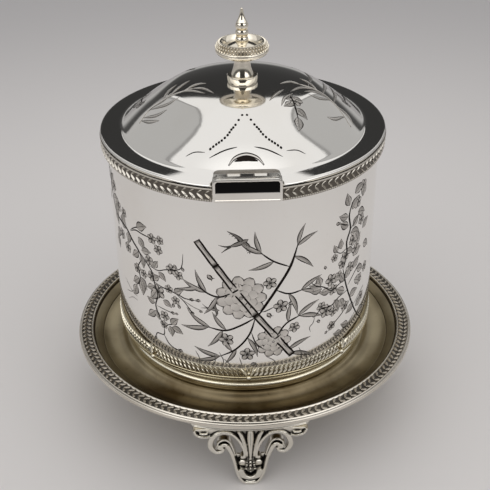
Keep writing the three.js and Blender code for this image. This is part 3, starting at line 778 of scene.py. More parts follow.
collar_map = on_drum(ground)
notch_angle = 2 * math.asin((notch_half + 0.3) / collar_radius)
taper = np.array([0.45, 0.8, 1, 1, 0.9, 0.7, 0.3]) * 0.62
collar_section = [(-1, -0.1), (-0.75, 0.5), (-0.35, 0.62), (0.4, 0.22), (1, -0.1)]
chevron = [
    lobe([(1.2, 166.05), (0.1, 165.4), (-1.3, 164.15)], 3, taper, collar_section, collar_map),
    lobe([(1.5, 161.6), (0.3, 162.7), (-1.3, 164.1)], 3, taper,
         [(-a, h) for a, h in reversed(collar_section)], collar_map)]
band("collar_leaves", chevron, rolled_silver, "barrel", "oxidised_silver", count=112,
     opening=notch_angle)
bead_level, bead_half, bead_rise, bead_radius = 160.75, 0.575, 0.42, 72.35
bead_rows = [(share, bead_rise * lift)
             for share, lift in ((1, -0.3), (1, 0.2), (0.6, 0.85), (0.12, 1))]
bead = boss(0, bead_level, bead_half, bead_half, 6, bead_rows, on_drum(bead_radius))
band("collar_milling", [bead], rolled_silver, "barrel", "oxidised_silver", count=350,
     opening=notch_angle)

border_middle = 90.5
border_map = on_flat(groove - 0.1, border_middle)
swell = np.array([0.35, 0.8, 1, 1, 0.95, 0.75, 0.35]) * 0.95
round_section = [(-1, -0.1), (-0.8, 0.42), (-0.3, 0.72), (0.3, 0.72), (0.8, 0.42), (1, -0.1)]
border_leaves = [lobe(line, 3, swell, round_section, border_map) for line in (
    [(1.4, 88.55), (0.5, 89.2), (-1.25, 90.85)], [(1.3, 92.85), (0.5, 92.3), (-1.25, 91.15)])]
band("tray_border_leaves", border_leaves, border_silver, "barrel", "oxidised_silver", count=156)

# Garland: two rows of leaves that lean away from the front tie, and eight ties

garland_radius = 70.28
garland_map = on_drum(garland_radius)
garland_section = [(-1, -0.05), (-0.6, 0.4), (0.5, 0.32), (1, -0.05)]
slim = np.array([0.3, 0.8, 1, 0.85, 0.2])
for side, name, start in ((1, "garland_leaves_right", -0.25 * TURN),
                          (-1, "garland_leaves_left", -0.75 * TURN)):
    leaves = [lobe([(side * s, z) for s, z in line], 2, slim * half, garland_section, garland_map)
              for half, line in ((0.75, [(-0.9, 58.7), (0.2, 59.8), (1.0, 61.6)]),
                                 (0.6, [(-0.2, 61.4), (0.6, 62.4), (1.6, 63.7)]))]
    band(name, leaves, light_silver, "barrel", "oxidised_silver", count=88, opening=TURN / 2,
         start=start)
tie_section = [(-1, -0.2), (-0.8, 0.35), (-0.3, 0.6), (0, 0.3), (0.3, 0.6), (0.8, 0.35), (1, -0.2)]
tie = [boss(0, z, size, size, 10, [(share, lift * high) for share, lift in (
    (0.9, -0.3), (1, 0.3), (0.75, 0.75), (0.3, 1))], garland_map)
    for z, size, high in ((57.6, 1.35, 1.3), (60.6, 0.7, 1.0))]
for x, z, bend, half in ((4.2, 63.8, 2.6, 0.9), (1.7, 65, 0.9, 0.8)):
    for side in (-1, 1):
        line = [(side * x * 0.1, 58.4), (side * bend * 0.8, 60.9), (side * x, z)]
        tie.append(lobe(line, 4, slim * half, tie_section, garland_map))
band("garland_ties", tie, light_silver, "barrel", "oxidised_silver", count=8, start=-TURN / 16)

# Milling of the finial's saucer: three rows of studs on its slope

saucer_middle, saucer_studs = 12, 46


def on_cone(along, share, lift):
    """The slope of the saucer: share 0 at its widest, 1 at its mouth."""
    bulge = share * (1 - share)
    radius, height = 13.1 - 2.1 * share + bulge * 1.2, saucer_low + 4.7 + 3.5 * share + bulge * 0.8
    radius, height = radius + lift * 0.84, height + lift * 0.54
    angle = along / saucer_middle
    return radius * math.sin(angle), -radius * math.cos(angle), height


pitch = TURN * saucer_middle / saucer_studs
milling = [boss(row % 2 * pitch / 2, 0.16 + row * 0.33, pitch * 0.4, 0.19, 4,
                ((1, -0.15), (1, 0.06), (0.35, 0.6)), on_cone) for row in range(3)]
band("finial_milling", milling, turned_silver, "lid", "turned_silver", count=saucer_studs)

# Hinge: block with three knuckles on the drum, leaf with two on the lid

hinge_run, knuckle_radius, gap = 30.5, 2, 0.3
knuckle_pitch = hinge_run / 5
slot_reach = knuckle_radius + gap
block_high = hinge_height + knuckle_radius
block_low = hinge_height + knuckle_radius - 11.4
block_back = 67
ledge = 166.65
panel_half, panel_front = 14.5, 76.6


def knuckle(index):
    """Where one of the five knuckles starts and ends."""
    start = -hinge_run / 2 + index * knuckle_pitch
    return start + gap / 2, start + knuckle_pitch - gap / 2


def knuckles(*indices):
    return [rod(knuckle_radius, *knuckle(index), -hinge_radius, hinge_height) for index in indices]


def corner(x, z, radius, first):
    """A quarter turn round a rounded corner, from its first angle."""
    return [(x + radius * math.cos(a), z + radius * math.sin(a))
            for a in np.linspace(first, first + TURN / 4, 6)]


block_outline = [*corner(block_half - 1, block_low + 1, 1, -TURN / 4),
                 *corner(block_half - 2.4, block_high - 2.4, 2.4, 0),
                 *corner(-block_half + 2.4, block_high - 2.4, 2.4, TURN / 4),
                 *corner(-block_half + 1, block_low + 1, 1, TURN / 2)]
front_steps = ((0, 0), (0, 9.65), (0.1, 9.88), (0.35, 10), (0.95, 10), (1.2, 9.85), (1.35, 9.2),
               (1.5, 8.9))
block = shape("hinge_block_cast", *plate(
    block_outline, front_steps, lambda x, z, lift: (x, -block_back - lift, z)), 25)
drum_face = Outline(0, 150).line(70.08, 150).line(70.08, ledge).line(0, ledge)
behind_pin = box((-20, -hinge_radius, ledge), (20, -60, 180))
for tool in (turned_mesh("drum_face", drum_face), shape("behind_pin", *behind_pin)):
    block = cut_by(block, tool)
for index in (1, 3):
    start, end = knuckle(index)
    slot = [(-hinge_radius + slot_reach * math.cos(a), hinge_height + slot_reach * math.sin(a))
            for a in np.linspace(TURN / 2, TURN, 13)]
    slot += [(-hinge_radius + slot_reach, 180), (-hinge_radius - slot_reach, 180)]
    cutter = swept([[(x, y, z) for y, z in slot] for x in (start - gap, end + gap)])
    block = cut_by(block, shape("slot", *cutter))
panel = []
panel_edge, panel_rows = 1.15, 21
for z, share in zip(np.linspace(block_low + panel_edge, block_high - panel_edge, panel_rows),
                    np.linspace(0, 1, panel_rows)):
    front = panel_front - 1.15 * max(0, share - 0.36) ** 1.25
    panel.append([(-panel_half, -75, z), (panel_half, -75, z), (panel_half, -front, z),
                  (-panel_half, -front, z)])
block = merged("hinge_block_cast", [block, shape("block_panel", *swept(panel)), shape(
    "drum_knuckles", *together(knuckles(0, 2, 4)))])


def block_tone(x, y, z):
    """Painted shade: black in the slots for the knuckles of the lid. Painted dark reflection: black
    on the upper part of the front panel. Grey on the top and the knuckles of the block.
    """
    in_slot = any(start - 0.4 < x < end + 0.4 for start, end in (knuckle(1), knuckle(3)))
    # Painted shade in the gaps round the lid's knuckles
    if in_slot and z > 169.8 and y > -74:
        return 1
    # Painted dark reflection on the upper part of the front panel
    if abs(abs(x) - panel_half) < 0.01 and y < -75 and z > 167.4:
        return 1
    return 0.55 if z > 171 and y > -75.6 else 0


toned(block, block_tone)
piece("hinge_block_cast", block, hinge_silver, "barrel", "polished_silver", "hinge_block")

leaf_front = hinge_radius - knuckle_radius - gap
leaf_back = leaf_front - 7
leaf_half = hinge_run / 2
leaf_outline = [(-leaf_half, -leaf_front), (leaf_half, -leaf_front),
                *corner(leaf_half - 3, -leaf_back - 3, 3, 0),
                *corner(-leaf_half + 3, -leaf_back - 3, 3, TURN / 4)]
leaf_parts = [plate(leaf_outline, ((0, 169.55), (0, 171.8), (0.1, 172), (0.3, 172.1)), as_drawn)]
for index in (1, 3):
    start, end = knuckle(index)
    leaf_parts += knuckles(index)
    leaf_parts.append(box((start, -hinge_radius, 170.7), (end, -leaf_front + 0.5, 172.1)))
leaf = shape("lid_hinge_leaf_plate", *together(leaf_parts), crease=30)
toned(leaf, lambda x, y, z: 0 if y < -leaf_front - 0.1 else 0.75 if abs(x) > 14 or z < 171 else 0.7)
piece("lid_hinge_leaf_plate", leaf, spun, "lid", "polished_silver", "lid_hinge_leaf")
pin = shape("hinge_pin_rod", *rod(0.8, -15.1, 15.1, -hinge_radius, hinge_height))
piece("hinge_pin_rod", pin, dull, "barrel", "plain_metal", "hinge_pin")

# Scroll feet: one casting, turned to three places. Lines run (across, rise) on its face

plate_top, plate_toe, foot_drop = 92.6, 87.8, 42.1
ground_back = -4.2


def on_foot(across, rise, lift):
    """The casting leans outwards from the toe to the shelf."""
    return across, -plate_toe - (plate_top - plate_toe) * min(rise / foot_drop, 1) - lift, rise


def disc(across, rise, radius, high, dome=0.35):
    """A round boss on the casting."""
    return plate(ring(across, rise, radius, radius, 20), (
        (0, ground_back), (0, high - dome), (radius * 0.3, high - dome * 0.3),
        (radius * 0.75, high)), on_foot)


rim = [(-1, -4.2), (-1, -0.9), (-0.7, -0.25), (0, 0), (0.7, -0.25), (1, -0.9), (1, -4.2)]
ridge = [(-1, -3), (-1, -0.9), (-0.55, -0.05), (0, -0.45), (0.55, -0.05), (1, -0.9), (1, -3)]
shank = [(0, 0.5), (3.4, 1.5), (6, 6), (7.4, 12.7), (8.6, 19), (9.4, 23.4), (8.3, 23.8),
         (6.7, 21.9), (5, 21.6), (3.4, 23), (0, 24)]
crest = [(0, 21), (2.8, 22), (3.4, 27), (5.5, 33.5), (8.8, 38.6), (12, 40.8), (14.6, 42.1),
         (0, 42.1)]
wing = [(13.4, 42.1), (13.8, 40.4), (17, 39.2), (20.2, 37), (23.7, 36.4), (26.4, 37.3),
        (28.3, 39.6), (28.8, 42.1)]
eye = [(17.2, 30.2), (16.6, 33.4), (13.4, 35.3), (10.2, 33.4), (9.2, 28.4), (13, 29)]
foot_lobes = (
    ([(2.9, 21.1), (3.5, 27), (5.8, 33.8), (9.6, 38.9), (14, 40.2), (18, 37.9), (20.1, 33.3),
      (20, 28.9), (17.4, 25.6), (14.6, 26.2), (13.6, 28.6)], rim,
     (0.6, 0.65, 0.75, 0.85, 0.95, 1.25, 1.45, 1.45, 1.15, 0.9, 0.7)),
    ([(16.9, 30.6), (16.2, 33.2), (13.4, 35), (10.6, 33.2), (8.9, 28.2), (7.6, 23.2)], rim,
     (0.5, 0.6, 0.6, 0.65, 0.6, 0.4)),
    ([(15.6, 29.6), (13.2, 31), (11.2, 28.6), (9.4, 23.4), (8.1, 16.9), (6.9, 9.5), (5, 4),
      (2.6, 1.4), (-0.4, 0.95)], rim, (0.9, 1.2, 1.3, 1.1, 0.9, 0.8, 0.8, 0.85, 0.95)),
    ([(6, 40.6), (4.6, 37.4), (3.1, 31.5), (2, 25.4), (1.7, 22.4)], ridge,
     (0.7, 1.15, 1.0, 0.7, 0.4)),
    ([(28.4, 42), (27.3, 39.1), (25.4, 37.6), (22.9, 37.1), (20.2, 37.6)], rim,
     (0.7, 0.8, 0.8, 0.8, 0.7)),
    ([(25.6, 40.1), (23.6, 39.6), (21.4, 39.9)], rim, (0.3, 0.55, 0.3)),
    ([(4.3, 12), (4.9, 9.8), (3.9, 7), (1.4, 5.3), (-0.4, 5)], rim, (1.1, 1.9, 1.7, 1.2, 1.0)))
parts = [plate(both_sides(line), ((0, ground_back), (0, lift)), on_foot)
         for line, lift in ((shank, -3), (crest, -1.7))]
palmette = np.interp(np.linspace(0, 1, 17), (0, 0.08, 0.3, 0.7, 1), (0.9, 1.6, 1.75, 0.95, 0.45))
parts.append(lobe([(0, 41.4), (0, 36), (0, 30), (0, 24.5), (0, 20.6)], 4, palmette, ridge, on_foot))
for across, rise, size in ((0, 19.4, 0.85), (0, 16.6, 0.75), (0, 14.1, 0.7), (0, 11.7, 0.6),
                           (1.9, 14.4, 0.6), (-1.9, 14.4, 0.6), (2.3, 11.4, 0.55),
                           (-2.3, 11.4, 0.55), (0, 9.3, 0.5)):
    parts.append(plate(ring(across, rise, size, size, 12),
                       ((0, -4), (0, -1.7), (size * 0.5, -1.2)), on_foot))
for side in (-1, 1):
    for line, section, halves in foot_lobes:
        parts.append(lobe([(side * u, w) for u, w in line], 5, halves, section, on_foot))
    parts.append(disc(side * 15.4, 29.2, 1.6, 0))
    parts.append(disc(side * 4.1, 21.6, 1.15, -0.1))
    parts.append(disc(side * 4.3, 17.6, 1.75, 0.1, 0.9))
    for line, lift in ((wing, -1.5), (eye, -3)):
        parts.append(plate([(side * u, w) for u, w in line], ((0, ground_back), (0, lift)),
                     on_foot))


def fused(mesh, grain=0.26):
    """One skin round shapes that overlap, as a casting has."""
    def remesh(step):
        step.mode, step.voxel_size = "VOXEL", grain * MM

    def ease(step):
        step.factor, step.iterations = 0.5, 3
    return baked(mesh, ("REMESH", remesh), ("SMOOTH", ease))


# The casting's recesses are painted dark: painted shade, with their tarnish
casting = grown(fused(shape("foot_casting", *together(parts))), recessed, cast_silver,
                Low=-0.02 * MM, High=0.23 * MM)
shelf_section = [(94.3, 45), (94.3, 44.4), (93.85, 44.15), (94.05, 43.8), (94, 43.35),
                 (93.45, 43.1), (93.65, 42.8), (93.4, 42.45), (92.9, 42.1), (87.6, 42.1),
                 (87.4, 45)]
shelf_inner, shelf_outer, shelf_half_width = 87.4, 94.3, 30
shelf_ends = math.asin(shelf_half_width / shelf_outer)
shelf_bars = []
for share in (-1, -0.985, -0.96, *np.linspace(-0.93, 0.93, 33), 0.96, 0.985, 1):
    angle = shelf_ends * share
    drawn = 1 - max(0, abs(angle) / shelf_ends - 0.95) / 0.05 * 0.12
    bar = []
    for radius, z in shelf_section:
        reach = shelf_inner + (radius - shelf_inner) * drawn
        bar.append((reach * math.sin(angle), -reach * math.cos(angle), z))
    shelf_bars.append(bar)
sole = plate(ring(0, -83.2, 4.2, 4.2, 32), ((0.2, 0), (0, 0.2), (0, 2.2), (0.2, 2.4)), as_drawn)
foot_mesh = merged("foot", [casting, shape("foot_shelf", *together([swept(shelf_bars), sole]))])
for index, place in enumerate(("front", "rear_right", "rear_left")):
    turned_foot = foot_mesh.copy()
    turned_foot.transform(Matrix.Rotation(index * TURN / 3, 4, "Z"))
    piece(f"foot_{place}_cast", turned_foot, cast_silver, "barrel", "cast_silver", f"foot_{place}")

# Engraving: flat drawings in millimetres, made into low ridges and then bent to the metal

engraved = silver("engraved_silver", (226, 222, 216), (196, 186, 172), 0.24, dent=0.3,
                  patina_and_painted_shade=(38, 33, 30))


class Drawing:
    """Lines, filled petals and motifs of one engraved subject, with x across and y up."""

    def __init__(self):
        self.lines, self.fills, self.tones, self.motifs = [], [], [], {}

    def line(self, points, half=0.2, shade=1.0):
        """A cut that swells in the middle and runs out at both ends."""
        smooth = spline(points, 5)
        t = np.linspace(0, 1, len(smooth))
        thin_end, swell_rate = 0.35, 3
        wide = half * 1.25 * np.minimum(1, thin_end + swell_rate * np.minimum(t, 1 - t))
        self.lines.append((smooth, wide, shade))
        return self

    def petal(self, points, *halves, edge=1.0, middle=0.25, other=None, per=4, lift=0.0, high=1.0):
        """A shaded shape along a line, with dark edges and two sides of their own tone."""
        edge_width, slope_width = 0.46, 0.62
        cut = max(0.45, 1 - edge_width / max(halves))
        body = max(0.25, 1 - slope_width / max(halves))
        profile = ((-1, -0.05), (-1, 0.02), (-cut, 0.03), (-body, 0.035), (0, 0.045),
                   (body, 0.035), (cut, 0.03), (1, 0.02), (1, -0.05))
        section = [(a, h * high + lift) for a, h in profile]
        self.fills.append(lobe(points, per, halves, section, as_drawn))
        other = middle if other is None else other
        ends = [edge] * len(section)
        tones = [edge, edge, edge, middle, (middle + other) / 2, other, edge, edge, edge]
        self.tones += ends + tones * ((len(points) - 1) * per - 1) + ends
        return self

    def bloom(self, x, y, radius, rings):
        """A full flower, ring over ring. Each ring is where it starts and ends, and its petals."""
        for level, (start, end, count) in enumerate(rings):
            half = radius * end * math.pi / count * 0.92
            for k in range(count):
                angle = (k + level * 0.4) * TURN / count
                c, s = math.cos(angle), math.sin(angle)
                line = [(x + radius * t * c, y + radius * t * s)
                        for t in (start, (start + end) / 2, end)]
                self.petal(line, half * 0.45, half * 0.8, half, half * 0.85, half * 0.3,
                           middle=0.0, other=0.2, per=3, lift=0.012 * level)
                self.line(line[:2], 0.12, 0.8)
        return self

    def motif(self, kind, *places):
        """Motifs at (x, y, degrees, size)."""
        self.motifs.setdefault(kind, []).extend(places)
        return self

    def mesh(self, name, motifs):
        """The whole drawing as one flat mesh."""
        meshes = []
        if self.fills:
            fills = shape(name, *together(self.fills), 60, self.tones)
            fills.materials.append(engraved.material)
            meshes.append(fills)
        if self.lines:
            meshes.append(grown(self.wires(name), inked, engraved, Rise=0.03 * MM))
        for kind, places in self.motifs.items():
            places = np.asarray(places, float)
            points = bpy.data.meshes.new(kind)
            points.from_pydata([(x * MM, y * MM, 0) for x, y in places[:, :2]], [], [])
            write(points, "turn", np.radians(places[:, 2]))
            write(points, "size", places[:, 3])
            meshes.append(grown(points, scattered, engraved, Motif=motifs[kind]))
        return merged(name, meshes)

    def wires(self, name):
        """The lines as edges, with a half width and a shade for each point."""
        vertices, edges, halves, shades = [], [], [], []
        for points, wide, shade in self.lines:
            start = len(vertices)
            vertices += [(x * MM, y * MM, 0) for x, y in points]
            edges += [(start + i, start + i + 1) for i in range(len(points) - 1)]
            halves += [w * MM for w in wide]
            shades += [shade] * len(points)
        made = bpy.data.meshes.new(name)
        made.from_pydata(vertices, edges, [])
        write(made, "half", halves)
        write(made, "shade", shades)
        return made


def polar(radius, angle):
    return radius * math.cos(angle), radius * math.sin(angle)


# Motifs, each drawn once

leaf_drawing = Drawing() \
    .petal([(0, 0), (2.2, 0.25), (4.6, 0.2), (7, -0.2)], 0.3, 1.7, 2.35, 1.95, 1.0, 0.2,
        middle=0.12, other=0.5).line([(0.2, 0), (3.4, 0.2), (6.4, -0.1)], 0.13, 0.9)
for x in (1.6, 2.9, 4.2):
    for tip in (1.1, -0.9):
        leaf_drawing.line([(x, 0.1), (x + 1, tip)], 0.08, 0.8)
blossom_drawing = Drawing()
for k in range(5):
    a = k * TURN / 5 + 0.3
    blossom_drawing.petal([polar(0.6, a), polar(1.9, a), polar(3.2, a)], 0.3, 1.2, 1.35, 0.5,
                          middle=0.2)
    for turn in (-0.3, 0.3):
        blossom_drawing.line([polar(0.7, a), polar(1.9, a + turn * 0.7)], 0.09, 0.9)
blossom_drawing.petal([(-0.6, 0), (0, 0), (0.6, 0)], 0.35, 0.65, 0.35, middle=0.9)
bud_drawing = Drawing().petal([(0, 0), (1.2, 0.15), (2.6, 0)], 0.35, 0.95, 1.05, 0.2, middle=0.3) \
    .line([(-0.3, -0.9), (0.4, -0.2), (1.3, -0.5)], 0.1) \
    .line([(-0.3, 0.9), (0.4, 0.3), (1.3, 0.6)], 0.1)
lance_drawing = Drawing() \
    .petal([(0, 0), (4, 0.35), (8.5, 0.1), (13, -0.9)], 0.2, 1.05, 1.35, 1.15, 0.65, 0.08,
        middle=0.15, other=0.6).line([(0.3, 0), (5, 0.35), (11.6, -0.5)], 0.1, 0.95)
swallow_drawing = Drawing() \
    .petal([(-4.4, -0.9), (-1.2, -0.3), (2.4, 0.5), (4.2, 1.2)], 0.3, 1.0, 1.25, 0.9, 0.2,
        middle=0.6).petal([(1.4, 0.6), (-0.4, 3.6), (-3.8, 6.8)], 1.1, 1.0, 0.6, 0.1, middle=0.7) \
    .petal([(1.8, 0.3), (3.6, -2.4), (3.3, -6.2)], 1.0, 0.95, 0.6, 0.1, middle=0.7) \
    .petal([(-4, -0.8), (-6.4, -0.6), (-9.2, 0.6)], 0.5, 0.35, 0.08, middle=0.8) \
    .petal([(-4, -1), (-6.2, -2), (-8.8, -3.4)], 0.5, 0.35, 0.08, middle=0.8)
for k in range(4):
    swallow_drawing \
        .line([(0.7 - k * 0.9, 1.9 + k * 1.2), (-0.7 - k * 0.9, 1.4 + k * 1.2)], 0.1) \
        .line([(3 + k * 0.1, -1.6 - k * 1.1), (1.9 + k * 0.1, -2.2 - k * 1.1)], 0.1)
motifs = {name: placed(name, drawing.mesh(name, {})) for name, drawing in (
    ("leaf", leaf_drawing), ("blossom", blossom_drawing), ("bud", bud_drawing),
    ("lance", lance_drawing), ("swallow", swallow_drawing))}

# The wall: a spray on either side and a bamboo cane with flowers in the middle

left_spray = Drawing() \
    .line([(-84, 131), (-77, 129.5), (-70, 128), (-64, 123), (-60, 120), (-57, 116)], 0.42) \
    .line([(-66, 128.5), (-61, 131), (-56, 131), (-49, 131)], 0.26) \
    .line([(-84, 131), (-88, 138), (-90, 147), (-88, 153)], 0.36) \
    .line([(-66, 129), (-62, 132), (-59, 133.5)], 0.24) \
    .line([(-60, 120), (-54, 115.5), (-50, 111), (-49, 106), (-47, 99), (-49, 92), (-47, 86),
        (-44, 80)], 0.3) \
    .line([(-52, 114.5), (-46, 113.8), (-41, 116), (-33, 118.5), (-31, 122), (-30.3, 128)], 0.2) \
    .line([(-49, 106), (-44, 104.8), (-39, 104.5), (-33, 103.2), (-30, 102.4), (-23, 102.6)],
        0.24).line([(-35, 103.4), (-31, 100.5), (-27.5, 96), (-26, 93.8)], 0.2) \
    .line([(-31, 101), (-26, 98.5), (-21, 97)], 0.14, 0.7) \
    .line([(-57, 116), (-61, 110), (-60, 103), (-64, 97)], 0.24) \
    .line([(-44, 80), (-44.5, 75.5), (-49, 74.6), (-50.5, 71.5)], 0.24) \
    .line([(-44.5, 75.5), (-41.5, 71), (-38, 69.2), (-34.5, 69)], 0.24) \
    .line([(-44, 80), (-41, 83), (-38, 84)], 0.2) \
    .line([(-48, 92), (-42, 91.5), (-37, 91.2)], 0.16) \
    .line([(-77, 95), (-70, 91), (-64, 90)], 0.16, 0.6) \
    .line([(-76, 88), (-70, 90), (-66, 94)], 0.14, 0.6) \
    .line([(-75, 83), (-69, 87), (-64, 87.5)], 0.12, 0.5) \
    .motif("leaf", (-60, 133, 24, 1.2), (-59, 128, -55, 1.05), (-60, 119, -140, 1.05),
        (-57, 121, 12, 1.0), (-58, 118, -75, 1.05), (-48, 114.6, 130, 0.75),
        (-48.4, 114.4, 62, 0.8), (-45.5, 113, -42, 0.85), (-49.5, 107, 40, 0.85),
        (-36.5, 103.8, 32, 0.9), (-49.6, 103.5, -150, 0.85), (-47.8, 101, -125, 1.15),
        (-43.6, 97, -25, 0.85), (-49.5, 93, 165, 0.85), (-50, 88, -135, 1.05),
        (-49.6, 88.6, -62, 0.8), (-39.4, 83.8, 48, 0.95), (-38.6, 82.5, -20, 0.95),
        (-40.2, 82.5, -78, 0.9), (-61, 103, -140, 1.1), (-59.6, 102, -80, 1.2),
        (-60, 104, -48, 1.1), (-64, 97.5, -112, 1.2), (-70, 128, 150, 1.1), (-68, 127, -100, 1.1),
        (-74, 129.4, 70, 1.0), (-80, 131, 110, 1.2), (-84, 132, -60, 1.1), (-90, 140, 70, 1.2),
        (-86, 138, 20, 1.1), (-92, 146, 130, 1.1), (-88, 146, 60, 1.1), (-96, 138, -120, 1.1),
        (-80, 124, -110, 1.1), (-84, 118, -70, 1.1)) \
    .motif("blossom", (-48.8, 131, 0, 0.95), (-43.6, 131.8, 20, 0.8), (-45, 126, 40, 0.9),
        (-37.4, 117.3, 10, 1.0), (-33.4, 115, 30, 0.85), (-62, 108.4, 0, 0.95),
        (-51.8, 117.5, 15, 0.95), (-56.6, 107.4, 50, 0.85), (-50.6, 108.6, 35, 0.95),
        (-39.6, 105.2, 0, 0.8), (-46.6, 101, 22, 1.35), (-35.8, 99.6, 10, 0.8),
        (-43.2, 87.6, 45, 0.95), (-44, 82, 5, 0.8), (-70, 117, 5, 1.0), (-76, 122, 30, 1.0),
        (-79, 137, 10, 1.1), (-84, 146, 40, 1.1), (-95, 150, 10, 1.1), (-72, 136, 25, 0.9)) \
    .motif("bud", (-34.4, 118.6, 120, 0.95), (-31.4, 120, -60, 0.85), (-24.2, 102.7, 2, 0.9),
        (-27.8, 102.5, 0, 0.9), (-27.2, 95.4, -55, 0.9), (-29, 97.4, -60, 0.8),
        (-37.4, 97.2, -95, 0.9), (-34.4, 97.4, -70, 0.9), (-39, 91.4, -10, 0.9),
        (-36.4, 91.4, 5, 0.7), (-35.6, 69, -5, 1.0), (-50.4, 72, -100, 0.9),
        (-22.8, 96.6, -12, 0.7))
right_spray = Drawing() \
    .line([(60, 146), (58, 139), (59.5, 131.5), (57, 125), (57.5, 118), (55, 110)], 0.42) \
    .line([(55, 110), (57, 103), (59, 97), (63, 88), (69, 77), (78, 66)], 0.38) \
    .line([(57, 103), (51, 101.5), (47, 100.5), (42, 104.5), (37, 107), (34, 110)], 0.24) \
    .line([(57, 121), (53, 120), (49, 122.5)], 0.2) \
    .line([(60, 95), (53, 94), (47, 91), (41, 92), (37, 88.5)], 0.24) \
    .line([(37, 88.5), (36, 85), (34, 83), (34.6, 80)], 0.14) \
    .line([(58, 134), (54, 136), (51, 137.4)], 0.2) \
    .line([(63, 88), (57, 83), (50, 79), (46, 76)], 0.22) \
    .line([(59.5, 131), (64, 134), (67, 137)], 0.2).line([(60, 98), (66, 103), (71, 106)], 0.22) \
    .line([(66, 82), (73, 86), (78, 88)], 0.18, 0.8) \
    .line([(69, 77), (62, 73), (54, 71)], 0.18, 0.8) \
    .line([(70, 75), (80, 74), (86, 70)], 0.18, 0.7) \
    .motif("leaf", (57.6, 133.6, 150, 1.05), (62, 131.5, 45, 1.0), (60, 128.6, -15, 1.2),
        (50.4, 121.6, 120, 0.8), (53, 122.5, 95, 0.85), (57, 119.5, -20, 0.95),
        (40, 105.5, 160, 1.05), (40, 106, 105, 1.0), (40.6, 104, 176, 1.05),
        (49.4, 104, 60, 0.85), (46.5, 101.5, 178, 1.05), (57, 102, 125, 1.1), (58, 103, 62, 1.1),
        (64, 106, 40, 1.1), (68, 103.5, -20, 1.1), (66, 98, -30, 1.1), (57, 96, 150, 1.1),
        (49.6, 93.5, -70, 1.0), (53.6, 92, -62, 1.0), (51.5, 92, -80, 1.0), (62, 90, 10, 1.1),
        (66, 84, -150, 1.1), (69, 80, 20, 1.1), (72, 75, -10, 1.1), (62, 73, 160, 1.0),
        (56, 71, 170, 0.9), (64, 114, 20, 1.0), (66, 119, 60, 1.0), (60, 142, 40, 1.2),
        (58, 145, 110, 1.1), (62, 150, 20, 1.2), (57, 139, 160, 1.0), (66, 138, -20, 1.1),
        (70, 145, 70, 1.2), (64, 127, -60, 1.1), (72, 126, 30, 1.1), (74, 116, -30, 1.1)) \
    .motif("blossom", (48.4, 119, 5, 0.75), (56, 116.6, 30, 1.0), (65.5, 116.6, 10, 1.15),
        (54.4, 113.4, 0, 1.0), (46.6, 107, 20, 1.15), (52, 107.2, 50, 0.9),
        (48.2, 100.6, 10, 1.0), (40.8, 93.2, 30, 0.9), (44, 89.4, 0, 1.25), (49, 86.8, 25, 0.9),
        (48.2, 78.4, 15, 0.9), (62.4, 123.6, 40, 1.1), (61, 108, 12, 1.1), (71, 96, 30, 1.1),
        (58, 86, 8, 1.0), (75, 83, 20, 1.0), (78, 100, 10, 1.0), (65, 144, 0, 1.1),
        (70, 151, 20, 1.1), (70, 132, 40, 1.0)) \
    .motif("bud", (36.6, 88.4, 100, 0.9), (38.6, 85.6, -50, 0.95), (34.4, 110, 140, 0.8),
        (45.4, 76.2, -150, 0.8), (66.8, 137.2, 50, 1.0), (51, 137.6, 160, 1.0),
        (43, 115, 120, 0.8))
cane = np.array([(-21, 131), (-12.5, 119), (-4, 106.5), (5, 93.5), (14.5, 80), (22, 69)])
centre = Drawing()
for low, high in zip(cane, cane[1:]):
    along = (high - low) / np.hypot(*(high - low))
    across = np.array([-along[1], along[0]])
    halfway = (low + high) / 2
    centre.petal([low + along * 0.3, halfway, high - along * 0.3], 1.5, 1.25, 1.2, 1.25, 1.5,
                 middle=0.12)
    centre.line([high - across * 1.9, high, high + across * 1.9], 0.34)
    for side in (-1, 1):
        centre.line([low + along * 0.2 + across * side * 1.5, halfway + across * side * 1.2,
                     high - along * 0.2 + across * side * 1.5], 0.36)
    centre.line([low + along * 1.2 + across * 0.4, high - along * 4 + across * 0.4], 0.12, 0.7)
